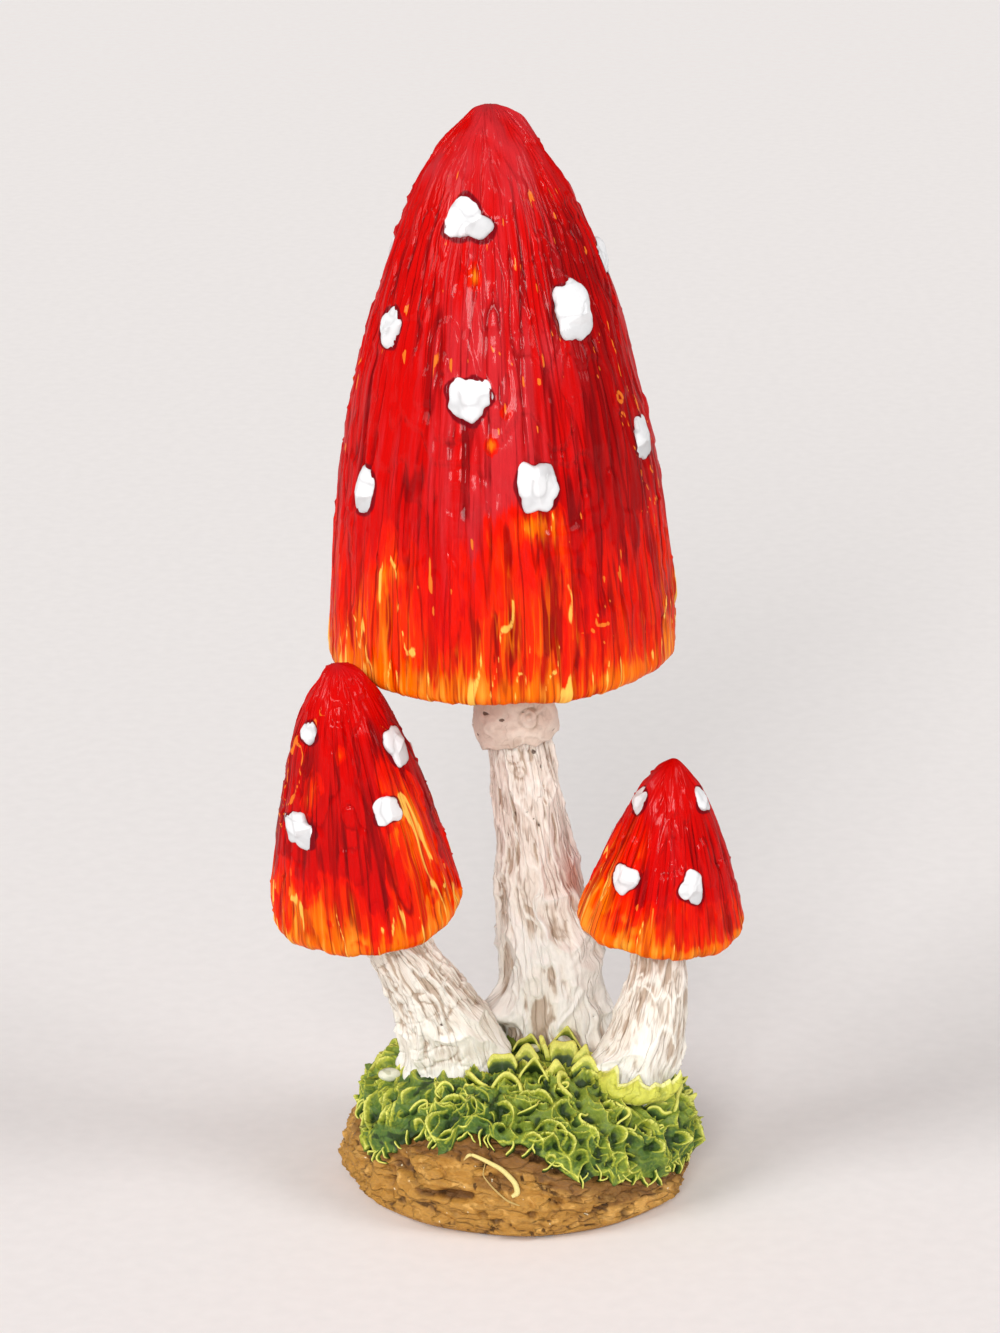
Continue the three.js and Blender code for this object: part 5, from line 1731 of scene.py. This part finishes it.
RIBBONS = (
    lobe(0.7, -1.4, 3.8, 62.0, -125.0, 1.8, 0.16, 0.5, 0.5),
    lobe(4.1, -1.3, 5.0, 66.0, -135.0, 2.3, 0.18, 0.6, 0.4),
    lobe(2.4, -2.4, 1.9, 96.0, 15.0, 2.2, 0.3, -0.3),
    lobe(3.9, -3.2, 2.5, 35.0, -70.0, 2.0, 0.18, -0.6),
    lobe(5.6, -3.4, 2.0, -25.0, 60.0, 1.8, 0.18, -0.6),
    lobe(0.6, -3.4, 2.2, 20.0, -60.0, 1.4, 0.16, -0.5),
    lobe(1.2, -7.2, 4.2, 72.0, -140.0, 2.1, 0.17, 0.5, 0.4),
    lobe(3.1, -6.0, 2.8, 10.0, 60.0, 1.5, 0.18, -0.5),
    lobe(5.8, -5.4, 2.6, 40.0, -80.0, 1.5, 0.16, -0.5, 0.5),
    lobe(-1.6, -4.8, 2.8, 30.0, -70.0, 1.4, 0.16, -0.4, 0.5),
    lobe(-1.2, -8.6, 4.4, 60.0, -150.0, 1.3, 0.2),
    lobe(-3.6, -6.6, 3.4, 240.0, 120.0, 1.3, 0.2),
    lobe(4.6, -7.6, 4.0, 200.0, 150.0, 1.2, 0.2),
    lobe(13.7, -3.8, 4.2, 245.0, 50.0, 2.0, 0.24),
    lobe(14.3, -2.4, 3.4, 260.0, -60.0, 1.8, 0.22),
    *tuft(86.0, 44.0, 2.0, 8, 9),
    *tuft(50.0, 40.0, 2.0, 4, 10),
    *tuft(4.0, 62.0, 3.4, 4, 5),
    *tuft(-32.0, 60.0, 3.0, 4, 6),
    *tuft(150.0, 58.0, 4.5, 14, 7),
    *tuft(-140.0, 58.0, 4.5, 14, 8),
)
FRINGE = 100  # strands round the hem
PEBBLES = (Pebble((-11.9, -2.6, 10.7), (0.9, 0.8, 0.65), 61), Pebble((1.3, -1.1, 12.7), (0.6, 0.5, 0.45), 62))


# The studio


@dataclass(frozen=True)
class Lamp:
    """A square soft light that shines at a target."""

    name: str
    place: Point
    power: float  # watts
    size: tuple[float, float]

    def build(self, target: Vector) -> None:
        """Makes the light.

        Args:
            target: what it shines at, in metres.
        """
        data = bpy.data.lights.new(self.name, "AREA")
        data.shape, data.energy = "RECTANGLE", self.power
        data.size, data.size_y = (side * MM for side in self.size)
        lamp = bpy.data.objects.new(self.name, data)
        lamp.location = Vector(self.place) * MM
        lamp.rotation_euler = (target - lamp.location).to_track_quat("-Z", "Y").to_euler()
        bpy.context.scene.collection.objects.link(lamp)


@dataclass(frozen=True)
class Studio:
    """The camera that was fitted to the photograph, the pale table, the soft lights and the world."""

    eye: Point = (-1.763, -428.204, 184.136)  # the camera's place
    pitch: float = 17.5  # degrees below the level that it looks
    lens: float = 135.0  # focal length on a 36 mm long side
    table: str = "#f4efed"
    half: float = 12.0  # metres from the table's middle to its edges
    air: str = "#fbfaf9"  # sRGB hex of the world
    glow: float = 0.33  # strength of the world
    lamps: tuple[Lamp, ...] = (
        Lamp("key", (-4200.0, -2600.0, 3500.0), 168.0, (3000.0, 3000.0)),
        Lamp("front", (-600.0, -4500.0, 1900.0), 125.0, (1500.0, 1300.0)),
        Lamp("fill", (4400.0, -1800.0, 3000.0), 110.0, (2600.0, 2600.0)),
    )

    def build(self) -> None:
        """Makes the camera, the lights, the world and the table."""
        scene = bpy.context.scene
        scene.view_settings.view_transform = "Standard"
        data = bpy.data.cameras.new("camera")
        data.lens, data.sensor_width, data.sensor_fit = self.lens, 36.0, "AUTO"
        data.clip_start, data.clip_end = 0.01, 40.0
        camera = bpy.data.objects.new("camera", data)
        camera.location = Vector(self.eye) * MM
        camera.rotation_euler = (math.radians(90.0 - self.pitch), 0.0, 0.0)
        scene.collection.objects.link(camera)
        scene.camera = camera
        for lamp in self.lamps:
            lamp.build(Vector((0.0, 0.0, 0.05)))
        scene.world = bpy.data.worlds.new("studio_air")
        tree = bare_tree(scene.world)
        sky = add(tree, "Background", {"Color": linear(self.air), "Strength": self.glow})
        add(tree, "OutputWorld", {"Surface": sky})
        self.lay_table()

    def lay_table(self) -> None:
        """Lays one large level sheet of pale paper with a faint mottle, a little lighter far off."""
        mesh = bpy.data.meshes.new("table")
        corners = [(x * self.half, y * self.half, 0.0) for x, y in ((-1, -1), (1, -1), (1, 1), (-1, 1))]
        mesh.from_pydata(corners, [], [(0, 1, 2, 3)])
        paper = bpy.data.materials.new("pale_paper")
        tree = bare_tree(paper)
        place = add(tree, "TexCoord", {}, "Object")
        mottle = add(tree, "TexNoise", {"Vector": place, "Scale": 600.0, "Detail": 2.0})
        value = add(tree, "MapRange", {0: mottle, 1: 0.3, 2: 0.7, 3: 0.985, 4: 1.015})
        depth = add(tree, "SeparateXYZ", {"Vector": place}, "Y")
        far = add(tree, "MapRange", {0: depth, 1: 0.1, 2: 0.7, 3: 1.0, 4: 1.15})
        value = add(tree, "Math", {0: value, 1: far}, operation="MULTIPLY")
        tint = add(tree, "HueSaturation", {"Value": value, "Color": linear(self.table)})
        feeds = {"Base Color": tint, "Roughness": 0.9, "Specular IOR Level": 0.2}
        add(tree, "OutputMaterial", {"Surface": add(tree, "BsdfPrincipled", feeds)})
        mesh.materials.append(paper)
        table = bpy.data.objects.new("table", mesh)
        bpy.context.scene.collection.objects.link(table)


def main() -> None:
    """Builds the studio and every piece of the ornament."""
    logging.basicConfig(level=logging.INFO, format="%(name)s: %(message)s")
    Studio().build()
    for toadstool in (TALL, LEFT, RIGHT):
        toadstool.build()
    mound = Mound()
    moss = Moss(mound)
    add_piece("earth_painted", Earth(mound).skin(), EARTH_PAINT, "earth_base")
    add_piece("moss_painted", moss.skin(), MOSS_PAINT, "moss_blanket")
    ribbons = [ribbon.skin(mound) for ribbon in (*RIBBONS, *moss.fringe(FRINGE))]
    add_piece("moss_ribbons", ribbons, MOSS_PAINT)
    add_piece("right_foot_leaf_painted", FootLeaf().skin(RIGHT), LEAF_PAINT, "right_foot_leaf")
    for index, pebble in enumerate(PEBBLES, 1):
        node = f"pebble_{index:02d}"
        add_piece(f"{node}_painted", pebble.skin(), PEBBLE_PAINT, node)
    add_piece("straw_blade_painted", Straw().skins(mound), STRAW_PAINT, "straw_blade")


if __name__ == "__main__":
    main()
